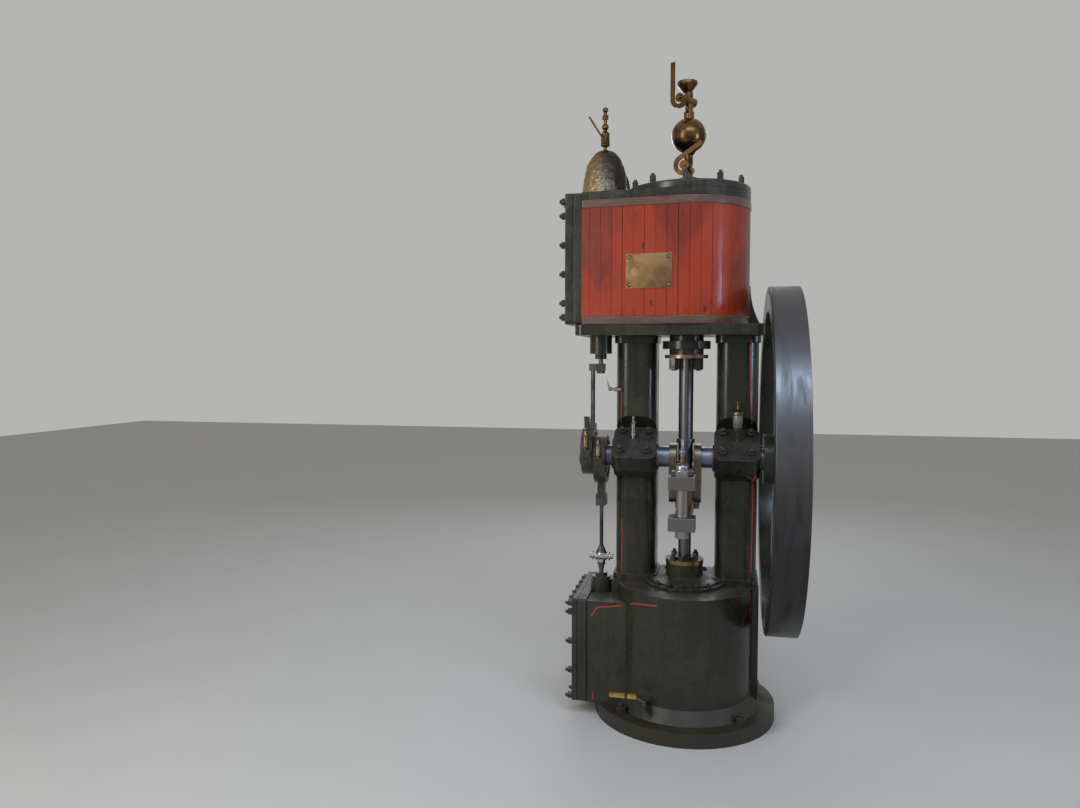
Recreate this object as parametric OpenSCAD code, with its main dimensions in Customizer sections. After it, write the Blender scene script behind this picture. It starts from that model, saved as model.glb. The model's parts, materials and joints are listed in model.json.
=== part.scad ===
// Vertical steam pumping engine: a steam cylinder on an entablature drives
// a pump in the base through a slotted crosshead, with a crankshaft and one
// flywheel between. The origin is on the floor under the piston rod's axis,
// with +X towards the flywheel and -Y towards the front.

/* [Levels] */
// Height of the top of the base casting
base_h = 585; // [565:5:600]
// Height of the crankshaft's centre line above the base casting
shaft_rise = 565; // [540:5:590]
// Height of the entablature's underside above the crankshaft's centre line
plate_rise = 540; // [525:5:570]
// Thickness of the entablature
plate_t = 45; // [35:1:60]

/* [Crank and flywheel] */
// Radius from the shaft's centre to the crank pin's centre
throw = 160; // [150:2:164]
// Diameter of the crankshaft at its journals
shaft_d = 95; // [85:1:100]
// Diameter of the crank pin
pin_d = 72; // [60:1:76]
// Thickness of each crank web
web_t = 32; // [26:1:36]
// Radius of the web's end round the crank pin
web_pin_r = 46; // [42:1:50]
// Radius of the web's end round the shaft
web_shaft_r = 60; // [54:1:62]
// Diameter of the round plug that closes the oilway in the right web
plug_d = 28; // [20:1:34]
// Outside diameter of the flywheel
fly_d = 1500; // [1300:10:1600]
// Width of the flywheel's rim
fly_w = 125; // [100:1:140]
// Depth of the flywheel's rim, from tread to inside
fly_rim = 105; // [80:1:140]
// Diameter of the flywheel's hub
hub_d = 220; // [190:2:260]
// Number of arms in the flywheel
arms = 6; // [4:1:7]
// How far each end of the shaft stands out
shaft_tail = 15; // [10:1:30]

/* [Slotted crosshead] */
// Height of the slot that holds the sliding block
slot_h = 115; // [105:1:120]
// Height of each beam and end block
beam_h = 57; // [48:1:66]
// Thickness of the beams across the slot
beam_t = 66; // [60:1:72]
// Depth of each end block, front to back
block_d = 90; // [80:1:100]
// Width of each end block, across the engine
block_w = 112; // [90:1:120]
// Diameter of the columns between the end blocks
yoke_col_d = 52; // [40:1:52]
// Length of the sliding block along the slot
die_l = 110; // [96:1:114]
// Diameter of the piston rod
piston_rod_d = 64; // [50:1:66]
// Diameter of the pump rod
pump_rod_d = 56; // [44:1:60]

/* [Standards and bearings] */
// Distance of each standard's centre from the cylinder's axis
col_x = 223; // [218:1:226]
// Width of each standard, across the engine
col_w = 182; // [160:2:190]
// Depth of each standard, front to back
col_d = 230; // [216:2:240]
// Distance of the standards' middle behind the shaft
col_y = 95; // [90:1:100]
// Width of each main bearing
bearing_w = 196; // [180:2:200]
// Length of each bearing cap along its slope
cap_l = 196; // [180:2:210]
// Thickness of each bearing cap over its brass
cap_wall = 18; // [12:1:26]
// Thickness of the wall of the bearing brasses
brass_t = 7.5; // [5:0.5:9]

/* [Base] */
// Diameter of the round pump barrel that forms the base
barrel_d = 600; // [560:5:620]
// How far the foot flange stands out from the barrel
foot_rim = 100; // [80:5:120]
// Thickness of the foot flange
foot_t = 62; // [45:1:80]
// Diameter of the bore that the pump rod works in
pump_bore_d = 280; // [200:5:320]
// Diameter of the holding-down bolt holes
foot_hole_d = 28; // [20:1:34]
// How far the lower valve chest reaches to the front of the shaft
chest_front = 190; // [170:5:195]
// How far the lower valve chest reaches behind the shaft
chest_back = 290; // [270:5:310]
// How far the lower valve chest's top lies below the base's top
chest_drop = 56; // [40:2:66]
// Outside diameter of the suction and delivery branches
branch_d = 130; // [110:5:150]

/* [Cylinder] */
// Diameter of the cylinder's bore
cyl_bore_d = 330; // [280:5:360]
// Outside diameter of the cylinder's wall
cyl_d = 440; // [400:5:450]
// Height of the cylinder from the entablature to its cover
cyl_h = 560; // [540:5:600]
// Thickness of the cylinder's cover
cover_t = 32; // [27:1:37]
// Air gap between the cylinder's wall and the lagging
lag_air = 14; // [8:1:20]
// Thickness of the wooden lagging
lag_t = 34; // [24:1:38]
// Height of the dark bands at both ends of the lagging
band_h = 36; // [25:1:45]
// Half length of the steam chest, front to back
steam_y = 238; // [225:1:245]
// Thickness of the steam chest, and of its cover
steam_t = 36; // [30:1:44]
// Outside diameter of the exhaust branch
exhaust_d = 150; // [120:5:180]

/* [Fittings] */
// Radius of the foil-wrapped dome over the steam inlet
dome_r = 106; // [98:1:112]
// Height of the foil-wrapped dome
dome_h = 244; // [236:1:260]
// Diameter of the brass oil globe on the cover
globe_d = 150; // [120:2:160]
// Length of the lever under the oil globe, from its hub
lower_lever_l = 112; // [96:2:124]
// Length of the drain lever
drain_lever_l = 147; // [120:1:160]

/* [Fits] */
// Gap left between faces that only just touch
seat_gap = 0.3; // [0.2:0.05:0.5]
// Radial running clearance of a shaft or rod in its bore
run_gap = 0.08; // [0.04:0.01:0.1]
// Side clearance between the crosshead and each crank web
web_gap = 5; // [4:0.5:7]
// Clearance between the swinging crank webs and the crosshead's end blocks
end_gap = 20; // [15:1:30]

/* [Hidden] */
$fn = 72;

tiny = 0.01;
far = 1000;

paint = [0.10, 0.14, 0.12];
steel = [0.72, 0.73, 0.76];
brass = [0.70, 0.52, 0.25];
wood = [0.66, 0.22, 0.12];
dark_wood = [0.22, 0.11, 0.08];
foil = [0.62, 0.56, 0.40];
yellow = [0.85, 0.68, 0.15];

// Levels
shaft_z = base_h + shaft_rise;
plate_z = shaft_z + plate_rise;
plate_top = plate_z + plate_t;
cover_z = plate_top + cyl_h;
cover_top = cover_z + cover_t;

// Crank, block and crosshead
pin_l = beam_t + 2 * web_gap;
web_in = pin_l / 2;
web_out = web_in + web_t;
yoke_z = shaft_z - throw;
top_beam_z = yoke_z + slot_h / 2;
top_beam_top = top_beam_z + beam_h;
bottom_beam_z = yoke_z - slot_h / 2 - beam_h;
beam_half = throw + web_pin_r + end_gap;
yoke_col_y = beam_half + block_d / 2;
top_nut_h = 20;
top_nut_across = 84;
dome_nut_h = 32;
lower_nut_across = 50;
lower_nut_h = 34;
collar_d = 80;
collar_h = 20;

// Bearings and standards
brass_d = shaft_d + 2 * brass_t;
brass_lip = 6;
cap_t = brass_d / 2 + cap_wall;
cap_shift = 10;
cap_r = 32;
ridge_rise = 20;
ridge_y = 21;
parting = 1;
left_oiler_y = -34;
right_oiler_y = -48.5;
housing_t = 50;
foot_pad_h = 26;
head_h = 30;
bearing_end = col_x + bearing_w / 2 + brass_lip;
cap_bolt_x = 0.3 * bearing_w;
cap_bolt_y = 0.32 * cap_l;
standard_r = 60;

// Flywheel and the shaft's ends
fly_x = bearing_end + 18;
hub_lip = 8;
shaft_right = fly_x + fly_w + hub_lip + shaft_tail;

// Eccentrics and valve spindles
strap_w = 52;
strap_r = 109;
strap_gap = 4;
sheave_r = 62;
strap_rim = 22;
recess_t = 5;
eccentricity = 18;
pump_strap_x = -(bearing_end + 25 + strap_w);
steam_strap_x = pump_strap_x - strap_gap - strap_w;
shaft_left = steam_strap_x - shaft_tail;
spindle_d = 20;
spindle_gap = 4;
steam_rod_x = steam_strap_x + 40;
steam_spindle_x = steam_rod_x + 36;
pump_spindle_x = pump_strap_x + strap_w / 2;
steam_lug_t = 22;
steam_lug_w = 40;
steam_lug_h = 44;
steam_strap_top = shaft_z + eccentricity + strap_r;
pump_strap_low = shaft_z - eccentricity - strap_r;
arm_z = plate_z - 155;
arm_h = 32;
spindle_boss = 62;
steam_gland_h = 40;
lug_z = pump_strap_low - 73;
pad_h = 26;
knuckle_z = base_h + 96;
knuckle_pin_l = 108;

// Base
foot_d = barrel_d + 2 * foot_rim;
foot_pcd = barrel_d + 110;
foot_bolts = 4;
spot_face = 28;
foot_cone = 38;
foot_cone_h = 52;
wing_x = col_x + 102;
wing_rim = 18;
chest_top = base_h - chest_drop;
chest_x = 104 - pump_spindle_x;
chest_cover_t = 24;
chest_flange_t = 40;
chest_flange_x = chest_x - chest_cover_t;
chest_body_x = chest_flange_x - chest_flange_t;
chest_lip = 12;
chest_step = 9;
chest_foot_gap = 4;
chest_in_x0 = barrel_d / 2 - 70;
spindle_stool = 48;
stool_d = 96;
chest_r = 14;
bore_depth = 395;
rod_reach = bore_depth - 55;
pump_cover_d = pump_bore_d + 84;
pump_joint_d = pump_bore_d + 38;
pump_stud_r = (pump_cover_d + pump_joint_d) / 4;
pump_cover_t = 20;
pump_box_h = 90;
pump_box_d = 164;
pump_gland_d = 168;
pump_gland_h = 28;
branch_x = 130;
branch_z = 290;
branch_flange_d = branch_d + 80;
branch_pcd = branch_d + 44;
branch_end = barrel_d / 2 + 120;
flange_t = 24;
bolt_d = 17;
flange_bolts = 6;

// Cylinder, chest and inlet
lag_in = cyl_d / 2 + lag_air;
lag_r = lag_in + lag_t;
cover_r = lag_r;
cover_chamfer = 6;
cover_studs = 10;
cover_stud_in = 32;
cover_nut_h = 34;
top_flange_t = 33;
band_out = 3;
steam_x = 122 - steam_spindle_x;
chest_in_x = steam_x - steam_t;
port_x = chest_in_x - steam_t;
port_y = steam_y - 48;
lag_side = steam_y - 2;
plate_x0 = -(steam_x - 42);
plate_x1 = col_x + 103;
plate_y = 250;
box_flange_d = 210;
box_flange_t = 35;
box_neck = 22;
gland_neck_d = 150;
gland_neck = 26;
gland_flange_d = 190;
gland_flange = 15;
gland_nut_h = 50;
gland_pcd = 148;
box_low = plate_z - box_neck - box_flange_t;
gusset_y = 83;
gusset_t = 26;
gusset_h = 178;
gusset_r = 350;
exhaust_z = plate_top + 300;
exhaust_stub = lag_r + 12;
exhaust_end = lag_r + 110;
exhaust_flange_d = exhaust_d + 90;
exhaust_pcd = exhaust_d + 48;
chest_panel = 75;

dome_fullness = 0.83;
inlet_x = -(cover_r + 106);
inlet_y = 40;
inlet_pipe_d = 110;
inlet_pipe_z = 100;
inlet_elbow_d = 122;
inlet_foot_d = 150;
inlet_end = 180;
inlet_flange_d = 190;
inlet_pcd = 156;
inlet_bolt_d = 14;

// Cocks and levers
cock_base = 43;
cock_seat_d = 150;
cock_z = cover_top + cock_base;
globe_z = cock_z + 120 + globe_d / 2;
globe_neck = 26;
neck_top = globe_z + globe_d / 2 + globe_neck;
upper_turn = 30;
lower_turn = 10;
plug_cock_d = 40;
lower_plug_z = cock_z + 52;
upper_plug_z = neck_top + 47;
cup_shift = 8;
lower_hub_y = 84;
upper_hub_y = 70;
lever_w = 19;
lever_hub_d = 38;
hook_r = 45;
hub_t = 10;
plug_pin_d = 20;
lower_angle = 58;
upper_lever_l = 156;
funnel_d = 88;
inlet_cock_z = dome_h + 28;
inlet_stem_z = dome_h + 160;
inlet_hub_y = 28;
inlet_lever_angle = 122;
inlet_lever_l = 130;
inlet_lever_w = 9;
drain_x = -150;
drain_z = 118;
drain_y = -sqrt(pow(barrel_d / 2, 2) - pow(drain_x, 2));
drain_reach = 44;
drain_ball_d = 34;
drain_hub_z = drain_ball_d / 2 + 4;
sleeve_rise = 16;
sleeve_gap = 40;

// Helpers
module along_x() rotate([0, 90, 0]) children();
module along_y() rotate([-90, 0, 0]) children();
module to_front() rotate([90, 0, 0]) children();
module side_profile(x0, x1) translate([x0, 0, 0]) rotate([90, 0, 90]) linear_extrude(x1 - x0) children();
module both_sides() for (side = [-1, 1]) translate([side * col_x, 0, 0]) children();

module rounded_rect(w, d, r) {
    square([w - 2 * r, d], center = true);
    square([w, d - 2 * r], center = true);
    for (x = [-1, 1], y = [-1, 1]) translate([x * (w / 2 - r), y * (d / 2 - r)]) circle(r);
}

module ring_holes(pcd, count, d, h, start = 0) {
    for (i = [0 : count - 1])
        rotate(start + i * 360 / count) translate([pcd / 2, 0, -tiny]) cylinder(d = d, h = h + 2 * tiny);
}

module ring_nuts(pcd, count, across, h, start = 0) {
    for (i = [0 : count - 1]) rotate(start + i * 360 / count) translate([pcd / 2, 0, 0]) nut(across, h);
}

module nut(across, h) cylinder(d = across / cos(30), h = h, $fn = 6);

// A turned piece from its half section, given as [radius, height] points
module turned(section) rotate_extrude()
    polygon([[0, section[0][1]], each section, [0, section[len(section) - 1][1]]]);

// Two circles of different size, joined by their outer tangents
module tangent_link(r1, r2, gap) {
    a = asin((r1 - r2) / gap);
    circle(r1);
    translate([0, -gap]) circle(r2);
    polygon([
        [r1 * cos(a), -r1 * sin(a)], [r2 * cos(a), -gap - r2 * sin(a)],
        [-r2 * cos(a), -gap - r2 * sin(a)], [-r1 * cos(a), -r1 * sin(a)]
    ]);
}

// A bearing's own frame: its +Z points up and to the front at 45 degrees
module on_bearing(side) translate([side * col_x, 0, shaft_z]) rotate([45, 0, 0]) children();

module cap_outline() translate([0, cap_shift]) rounded_rect(bearing_w, cap_l, cap_r);

module cap_ridge_outline() intersection() {
    cap_outline();
    translate([-bearing_w, -cap_l]) square([2 * bearing_w, cap_l + ridge_y]);
}

module brass_seat() translate([-far, 0, shaft_z]) along_x() cylinder(d = brass_d, h = 2 * far);

// Base casting
module base_outline(grow = 0) {
    circle(d = barrel_d + 2 * grow);
    translate([0, col_y]) square([2 * (wing_x + grow), col_d + 2 * (wing_rim + grow)], center = true);
}

module foot_fillet() translate([0, 0, foot_t])
    cylinder(d1 = barrel_d + 2 * foot_cone, d2 = barrel_d, h = foot_cone_h);

module pump_base() color(paint) difference() {
    union() {
        linear_extrude(base_h) base_outline();
        cylinder(d = foot_d, h = foot_t);
        foot_fillet();
        linear_extrude(foot_t) base_outline(wing_rim);
    }
    translate([0, 0, base_h - bore_depth]) cylinder(d = pump_bore_d, h = bore_depth + 1);
    ring_holes(foot_pcd, foot_bolts, foot_hole_d, foot_t, 45);
    translate([0, 0, foot_t]) ring_holes(foot_pcd, foot_bolts, foot_hole_d + spot_face, 60, 45);
}

// Lower valve chest, against the left side of the barrel
module chest_outline() translate([(chest_back - chest_front) / 2, (chest_top + foot_t + chest_foot_gap) / 2])
    rounded_rect(chest_front + chest_back, chest_top - foot_t - chest_foot_gap, chest_r);

module pump_valve_chest() color(paint) difference() {
    union() {
        translate([-chest_body_x, -chest_front + chest_lip, foot_t + seat_gap]) cube([
            chest_body_x - chest_in_x0, chest_front + chest_back - 2 * chest_lip,
            chest_top - foot_t - seat_gap - chest_step
        ]);
        side_profile(-chest_flange_x, -chest_body_x) chest_outline();
        translate([pump_spindle_x, 0, chest_top - chest_step])
            cylinder(d = stool_d, h = chest_step + spindle_stool);
    }
    translate([0, 0, -1]) linear_extrude(base_h + 2) base_outline();
    foot_fillet();
    translate([pump_spindle_x, 0, chest_top - 120]) cylinder(d = spindle_d + 2 * spindle_gap, h = 300);
}

module pump_chest_cover() color(paint) side_profile(-chest_x, -chest_flange_x) chest_outline();

// Round cover of the pump barrel with its stuffing box
module standard_foot(side, grow = 0) translate([side * col_x, col_y, base_h])
    linear_extrude(foot_pad_h) rounded_rect(col_w + 18 + 2 * grow, col_d + 26 + 2 * grow, 40);

module pump_cover() color(paint) difference() {
    pump_cover_body();
    for (side = [-1, 1]) translate([0, 0, -1]) standard_foot(side, seat_gap);
}

module pump_cover_body() translate([0, 0, base_h]) difference() {
    union() {
        cylinder(d = pump_cover_d, h = 12);
        cylinder(d = pump_joint_d, h = pump_cover_t);
        translate([0, 0, pump_cover_t]) cylinder(d1 = pump_box_d + 68, d2 = pump_box_d, h = 14);
        cylinder(d = pump_box_d, h = pump_box_h);
        for (a = [-130 : 20 : -50]) rotate(a) translate([pump_stud_r, 0, 0]) nut(22, 26);
        for (a = [60 : 20 : 120]) rotate(a) translate([pump_stud_r, 0, 0]) nut(22, 26);
    }
    translate([0, 0, -1]) cylinder(d = pump_rod_d + 14, h = 200);
}

module pump_gland() color(brass) translate([0, 0, base_h + pump_box_h]) difference() {
    union() {
        cylinder(d = pump_gland_d, h = 18);
        cylinder(d = pump_gland_d - 68, h = pump_gland_h);
        ring_nuts(pump_gland_d - 34, 4, 24, 36, 45);
    }
    translate([0, 0, -1]) cylinder(d = pump_rod_d + 2 * run_gap, h = pump_gland_h + 2);
}

// Pipe branches at the back, each with a flange and bolt circle
module branch(y0, y1, pipe_d, flange_d, pcd, hole_d, bore_d) along_y() difference() {
    union() {
        translate([0, 0, y0]) cylinder(d = pipe_d, h = y1 - y0);
        translate([0, 0, y1 - flange_t]) cylinder(d = flange_d, h = flange_t);
    }
    translate([0, 0, y1 - 90]) cylinder(d = bore_d, h = 91);
    translate([0, 0, y1 - flange_t]) ring_holes(pcd, flange_bolts, hole_d, flange_t, 30);
}

module pump_branches() color(paint) difference() {
    for (side = [-1, 1]) translate([side * branch_x, 0, branch_z])
        branch(barrel_d / 3, branch_end, branch_d, branch_flange_d, branch_pcd, bolt_d, branch_d - 34);
    translate([0, 0, -1]) linear_extrude(base_h + 2) base_outline(seat_gap / 2);
}

// Standards with the lower halves of the main bearings
module standard(side) color(paint) difference() {
    union() {
        translate([side * col_x, col_y, base_h])
            linear_extrude(plate_z - base_h) rounded_rect(col_w, col_d, standard_r);
        standard_foot(side);
        translate([side * col_x, col_y, plate_z - head_h])
            linear_extrude(head_h) rounded_rect(col_w + 14, col_d + 26, 40);
        on_bearing(side) translate([0, 0, -housing_t]) linear_extrude(housing_t - parting) cap_outline();
    }
    on_bearing(side) translate([-col_w, cap_shift - cap_l / 2 - 40, -parting])
        cube([2 * col_w, cap_l + 46, 400]);
    brass_seat();
}
module left_standard() standard(-1);
module right_standard() standard(1);

module bearing_caps() color(paint) difference() {
    for (side = [-1, 1]) on_bearing(side) {
        translate([0, 0, parting]) linear_extrude(cap_t - parting) cap_outline();
        translate([0, 0, cap_t - tiny]) linear_extrude(ridge_rise + tiny) cap_ridge_outline();
        for (x = [-1, 1]) {
            translate([x * cap_bolt_x, cap_shift - cap_bolt_y, cap_t + ridge_rise - tiny]) nut(34, 27);
            translate([x * cap_bolt_x, cap_shift + cap_bolt_y, cap_t - tiny]) nut(34, 27);
        }
    }
    brass_seat();
}

module bearing_brasses() color(brass) translate([0, 0, shaft_z]) both_sides() along_x() difference() {
    union() {
        translate([0, 0, -bearing_w / 2]) cylinder(d = brass_d, h = bearing_w);
        for (e = [-bearing_w / 2 - brass_lip, bearing_w / 2])
            translate([0, 0, e]) cylinder(d = brass_d + 14, h = brass_lip);
    }
    translate([0, 0, -bearing_w]) cylinder(d = shaft_d + 2 * run_gap, h = 2 * bearing_w);
}

// Entablature with the stuffing box under the cylinder
module entablature() color(paint) difference() {
    union() {
        translate([(plate_x0 + plate_x1) / 2, 0, plate_z])
            linear_extrude(plate_t) rounded_rect(plate_x1 - plate_x0, 2 * plate_y, 34);
        translate([0, 0, box_low]) cylinder(d = box_flange_d, h = box_flange_t);
        translate([0, 0, box_low]) cylinder(d = gland_neck_d, h = plate_z - box_low + 1);
        translate([steam_spindle_x, 0, plate_z - spindle_boss]) cylinder(d = 100, h = spindle_boss + 1);
    }
    translate([0, 0, plate_z - 200]) cylinder(d = piston_rod_d + 14, h = 400);
    translate([steam_spindle_x, 0, plate_z - 200]) cylinder(d = spindle_d + 2 * spindle_gap, h = 400);
}

module piston_gland() color(brass) translate([0, 0, box_low - gland_neck - gland_flange]) difference() {
    union() {
        cylinder(d = gland_flange_d, h = gland_flange);
        translate([0, 0, gland_flange - tiny]) cylinder(d = gland_neck_d, h = gland_neck + tiny);
        translate([0, 0, -gland_nut_h]) ring_nuts(gland_pcd, 4, 36, gland_nut_h + tiny, 45);
    }
    translate([0, 0, -gland_nut_h - 1]) cylinder(d = piston_rod_d + 2 * run_gap, h = 200);
}

// Steam cylinder with the port block that carries the steam chest
module lagging_outline(grow = 0) {
    circle(r = lag_r + grow);
    polygon([
        [0, -lag_r - grow], [0, lag_r + grow],
        [-port_x, lag_side + grow], [-port_x, -lag_side - grow]
    ]);
}

module gusset(grow = 0) translate([0, gusset_y + gusset_t / 2 + grow, 0])
    to_front() linear_extrude(gusset_t + 2 * grow) difference() {
        translate([cyl_d / 2 - 30, plate_top - grow])
            square([plate_x1 - 12 - cyl_d / 2 + 30 + grow, gusset_h + 2 * grow]);
        translate([lag_r + 6 + gusset_r, plate_top + gusset_h]) circle(gusset_r - grow, $fn = 120);
    }

module steam_cylinder() color(paint) difference() {
    union() {
        translate([0, 0, plate_top]) cylinder(d = cyl_d, h = cyl_h - 1);
        translate([0, 0, cover_z - top_flange_t]) linear_extrude(top_flange_t) lagging_outline();
        translate([-port_x, -port_y, plate_top]) cube([port_x, 2 * port_y, cyl_h - 1]);
        gusset();
        translate([0, 0, exhaust_z]) along_y() cylinder(d = exhaust_d, h = exhaust_stub);
    }
    translate([0, 0, plate_top - 1]) cylinder(d = cyl_bore_d, h = cyl_h + 2);
}

module exhaust_branch() color(paint) translate([0, 0, exhaust_z])
    branch(exhaust_stub, exhaust_end, exhaust_d, exhaust_flange_d, exhaust_pcd, bolt_d, exhaust_d - 42);

module cylinder_cover() color(paint) translate([0, 0, cover_z]) {
    cylinder(r = cover_r, h = cover_t - cover_chamfer);
    translate([0, 0, cover_t - cover_chamfer])
        cylinder(r1 = cover_r, r2 = cover_r - cover_chamfer, h = cover_chamfer);
    translate([0, 0, cover_t - tiny]) cylinder(d = cock_seat_d, h = cock_base + tiny);
    translate([0, 0, cover_t - tiny])
        ring_nuts(2 * (cover_r - cover_stud_in), cover_studs, 24, cover_nut_h, -90);
}

module lagging_shell(z0, z1, grow) difference() {
    translate([0, 0, z0]) linear_extrude(z1 - z0) difference() {
        lagging_outline(grow);
        circle(r = lag_in);
        translate([-port_x - 1, -lag_side + lag_t]) square([port_x + 1, 2 * (lag_side - lag_t)]);
    }
    gusset(seat_gap);
    translate([0, 0, exhaust_z]) along_y() cylinder(d = exhaust_d + 2 * seat_gap, h = 2 * lag_r);
}

module lagging() color(wood)
    lagging_shell(plate_top + band_h, cover_z - top_flange_t - band_h, 0);

module lagging_bands() color(dark_wood) {
    lagging_shell(plate_top, plate_top + band_h, band_out);
    lagging_shell(cover_z - top_flange_t - band_h, cover_z - top_flange_t, band_out);
}

module steam_chest_outline(inset = 0) translate([0, (plate_top + cover_z) / 2])
    rounded_rect(2 * (steam_y - inset), cyl_h - 4 - 2 * inset, inset > 0 ? 20 : 12);

module steam_chest() color(paint) side_profile(-chest_in_x, -port_x) steam_chest_outline();

module steam_chest_cover() color(paint) {
    side_profile(-steam_x, -chest_in_x) steam_chest_outline();
    side_profile(-steam_x - 12, -steam_x + tiny) steam_chest_outline(chest_panel);
}

// Steam inlet elbow, and the foil-wrapped dome over it
module at_inlet() translate([inlet_x, inlet_y, cover_z]) children();

module inlet_pipe(grow = 0) {
    cylinder(d = inlet_foot_d + 2 * grow, h = 18 + grow);
    cylinder(d = inlet_pipe_d + 2 * grow, h = inlet_pipe_z);
    translate([0, 0, inlet_pipe_z]) sphere(d = inlet_elbow_d + 2 * grow);
    translate([0, 0, inlet_pipe_z]) along_y() cylinder(d = inlet_pipe_d + 2 * grow, h = inlet_end);
}

module inlet_valve() color(paint) at_inlet() difference() {
    union() {
        inlet_pipe();
        translate([0, inlet_end - flange_t, inlet_pipe_z])
            along_y() cylinder(d = inlet_flange_d, h = flange_t);
    }
    translate([0, inlet_end - 60, inlet_pipe_z]) along_y() cylinder(d = inlet_pipe_d - 26, h = 61);
    translate([0, inlet_end - flange_t, inlet_pipe_z])
        along_y() ring_holes(inlet_pcd, flange_bolts, inlet_bolt_d, flange_t, 30);
}

module inlet_lagging() color(foil) at_inlet() difference() {
    steps = 16;
    translate([0, 0, seat_gap]) turned([
        for (i = [0 : steps]) let (rise = 90 * i / steps)
            [dome_r * pow(cos(rise), dome_fullness), dome_h * pow(sin(rise), dome_fullness)]
    ]);
    inlet_pipe(seat_gap);
    cylinder(d = 16 + 2 * seat_gap, h = dome_h + 10);
}

// Valve gear at the left end of the shaft
module strap(x0, z) translate([x0, 0, z]) along_x() difference() {
    union() {
        cylinder(r = strap_r, h = strap_w);
        for (s = [-1, 1]) translate([-16, s * (strap_r - 1) - 13, 6]) cube([32, 26, strap_w - 12]);
    }
    for (recess_z = [-1, strap_w - recess_t]) translate([0, 0, recess_z]) difference() {
        cylinder(r = strap_r - strap_rim, h = recess_t + 1);
        cylinder(r = sheave_r, h = recess_t + 1);
    }
}

module eccentrics() color(paint) difference() {
    union() {
        strap(steam_strap_x, shaft_z + eccentricity);
        translate([steam_strap_x + 4, -steam_lug_w / 2, steam_strap_top - 8])
            cube([steam_lug_t, steam_lug_w, steam_lug_h]);
        translate([steam_strap_x + 12, 0, steam_strap_top + 30]) cylinder(d = 26, h = 18);
        strap(pump_strap_x, shaft_z - eccentricity);
        translate([pump_spindle_x - 16, -24, lug_z]) cube([32, 48, pump_strap_low - lug_z + 10]);
        translate([pump_spindle_x - 22, -34, lug_z]) cube([44, 68, pad_h]);
    }
    translate([shaft_left - 10, 0, shaft_z]) along_x() cylinder(d = shaft_d + 2 * run_gap, h = far);
}

module eccentric_rods() color(steel) {
    steam_rod();
    pump_valve_rod();
}

module steam_rod() difference() {
    union() {
        translate([steam_rod_x - 12, -26, steam_strap_top - 12]) cube([26, 52, 30]);
        translate([steam_rod_x, 0, steam_strap_top]) cylinder(d = spindle_d, h = arm_z - steam_strap_top + 6);
        translate([steam_rod_x - 16, -17, arm_z]) cube([steam_spindle_x - steam_rod_x + 36, 34, arm_h]);
        translate([steam_spindle_x, 0, arm_z + 6]) cylinder(d = spindle_d, h = plate_top - 1 - arm_z - 6);
        translate([steam_spindle_x, 0, arm_z - 12]) nut(32, 12);
    }
    translate([steam_strap_x - 5, 0, shaft_z + eccentricity])
        along_x() cylinder(r = strap_r + seat_gap, h = strap_w + 60);
    translate([steam_strap_x + 4 - seat_gap, -steam_lug_w / 2 - seat_gap, steam_strap_top - 30])
        cube([steam_lug_t + 2 * seat_gap, steam_lug_w + 2 * seat_gap, 90]);
}

module pump_valve_rod() translate([pump_spindle_x, 0, 0]) {
    translate([-22, -34, lug_z - 30]) cube([44, 68, 30]);
    translate([0, 0, knuckle_z + 50]) cylinder(d = 17, h = lug_z - knuckle_z - 70);
    translate([0, 0, knuckle_z + 12]) cylinder(d1 = 54, d2 = 17, h = 42);
    translate([0, 0, knuckle_z]) along_x() {
        translate([0, 0, -27]) cylinder(d = 36, h = 54);
        translate([0, 0, -knuckle_pin_l / 2]) cylinder(d = 24, h = knuckle_pin_l);
        for (s = [-1, 1]) translate([0, 0, s * 38 - 2]) cylinder(d = 40, h = 4);
    }
    translate([0, 0, chest_top - 90]) cylinder(d = spindle_d, h = knuckle_z - chest_top + 80);
    translate([0, 0, knuckle_z - 40]) nut(32, 26);
    translate([0, 0, knuckle_z - 58]) cylinder(d = 26, h = 14);
}

module steam_spindle_gland() color(paint)
translate([steam_spindle_x, 0, plate_z - spindle_boss - steam_gland_h]) difference() {
    union() {
        translate([0, 0, steam_gland_h - 16]) cylinder(d = 100, h = 16);
        cylinder(d = 52, h = steam_gland_h);
        for (s = [-1, 1]) translate([0, s * 38, 2]) nut(22, 22 + tiny);
    }
    translate([0, 0, -1]) cylinder(d = spindle_d + 2 * seat_gap, h = 60);
}

module pump_spindle_gland() color(brass)
translate([pump_spindle_x, 0, chest_top + spindle_stool]) difference() {
    union() {
        cylinder(d = 84, h = 14);
        nut(50, 30);
    }
    translate([0, 0, -1]) cylinder(d = spindle_d + 2 * seat_gap, h = 60);
}

// Oilers on the sloping faces of the bearing caps
module oiler(side, x, y, tone) color(tone) difference() {
    translate([side * col_x + x, y, shaft_z]) children();
    on_bearing(side) {
        translate([-far / 2, -far / 2, cap_t - far]) cube(far);
        translate([-far / 2, ridge_y - far, cap_t + ridge_rise - far]) cube(far);
    }
}

module left_oiler() oiler(-1, -8, left_oiler_y, steel) {
    turned([[8, 0], [8, 108], [11, 108], [11, 152], [5, 164], [6, 164], [6, 186]]);
    translate([0, 0, 96]) nut(20, 12);
}

module right_oiler() oiler(1, 2, right_oiler_y, brass) {
    turned([
        [9, 0], [9, 98], [18, 98], [18, 128], [21, 128], [21, 180],
        [26, 180], [26, 190], [20, 192], [7, 202], [4.5, 202], [4.5, 240]
    ]);
}

// Oil globe on the cylinder's cover between two plug cocks with levers
module at_plug(z, turn) translate([0, 0, z]) rotate(-turn) children();

// The plug of a cock, with the pin at its front that carries the lever
module cock_plug(length, hub_y) to_front() {
    translate([0, 0, -length / 2]) cylinder(d = plug_cock_d, h = length);
    cylinder(d = plug_pin_d, h = hub_y + hub_t + 6);
}

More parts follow.
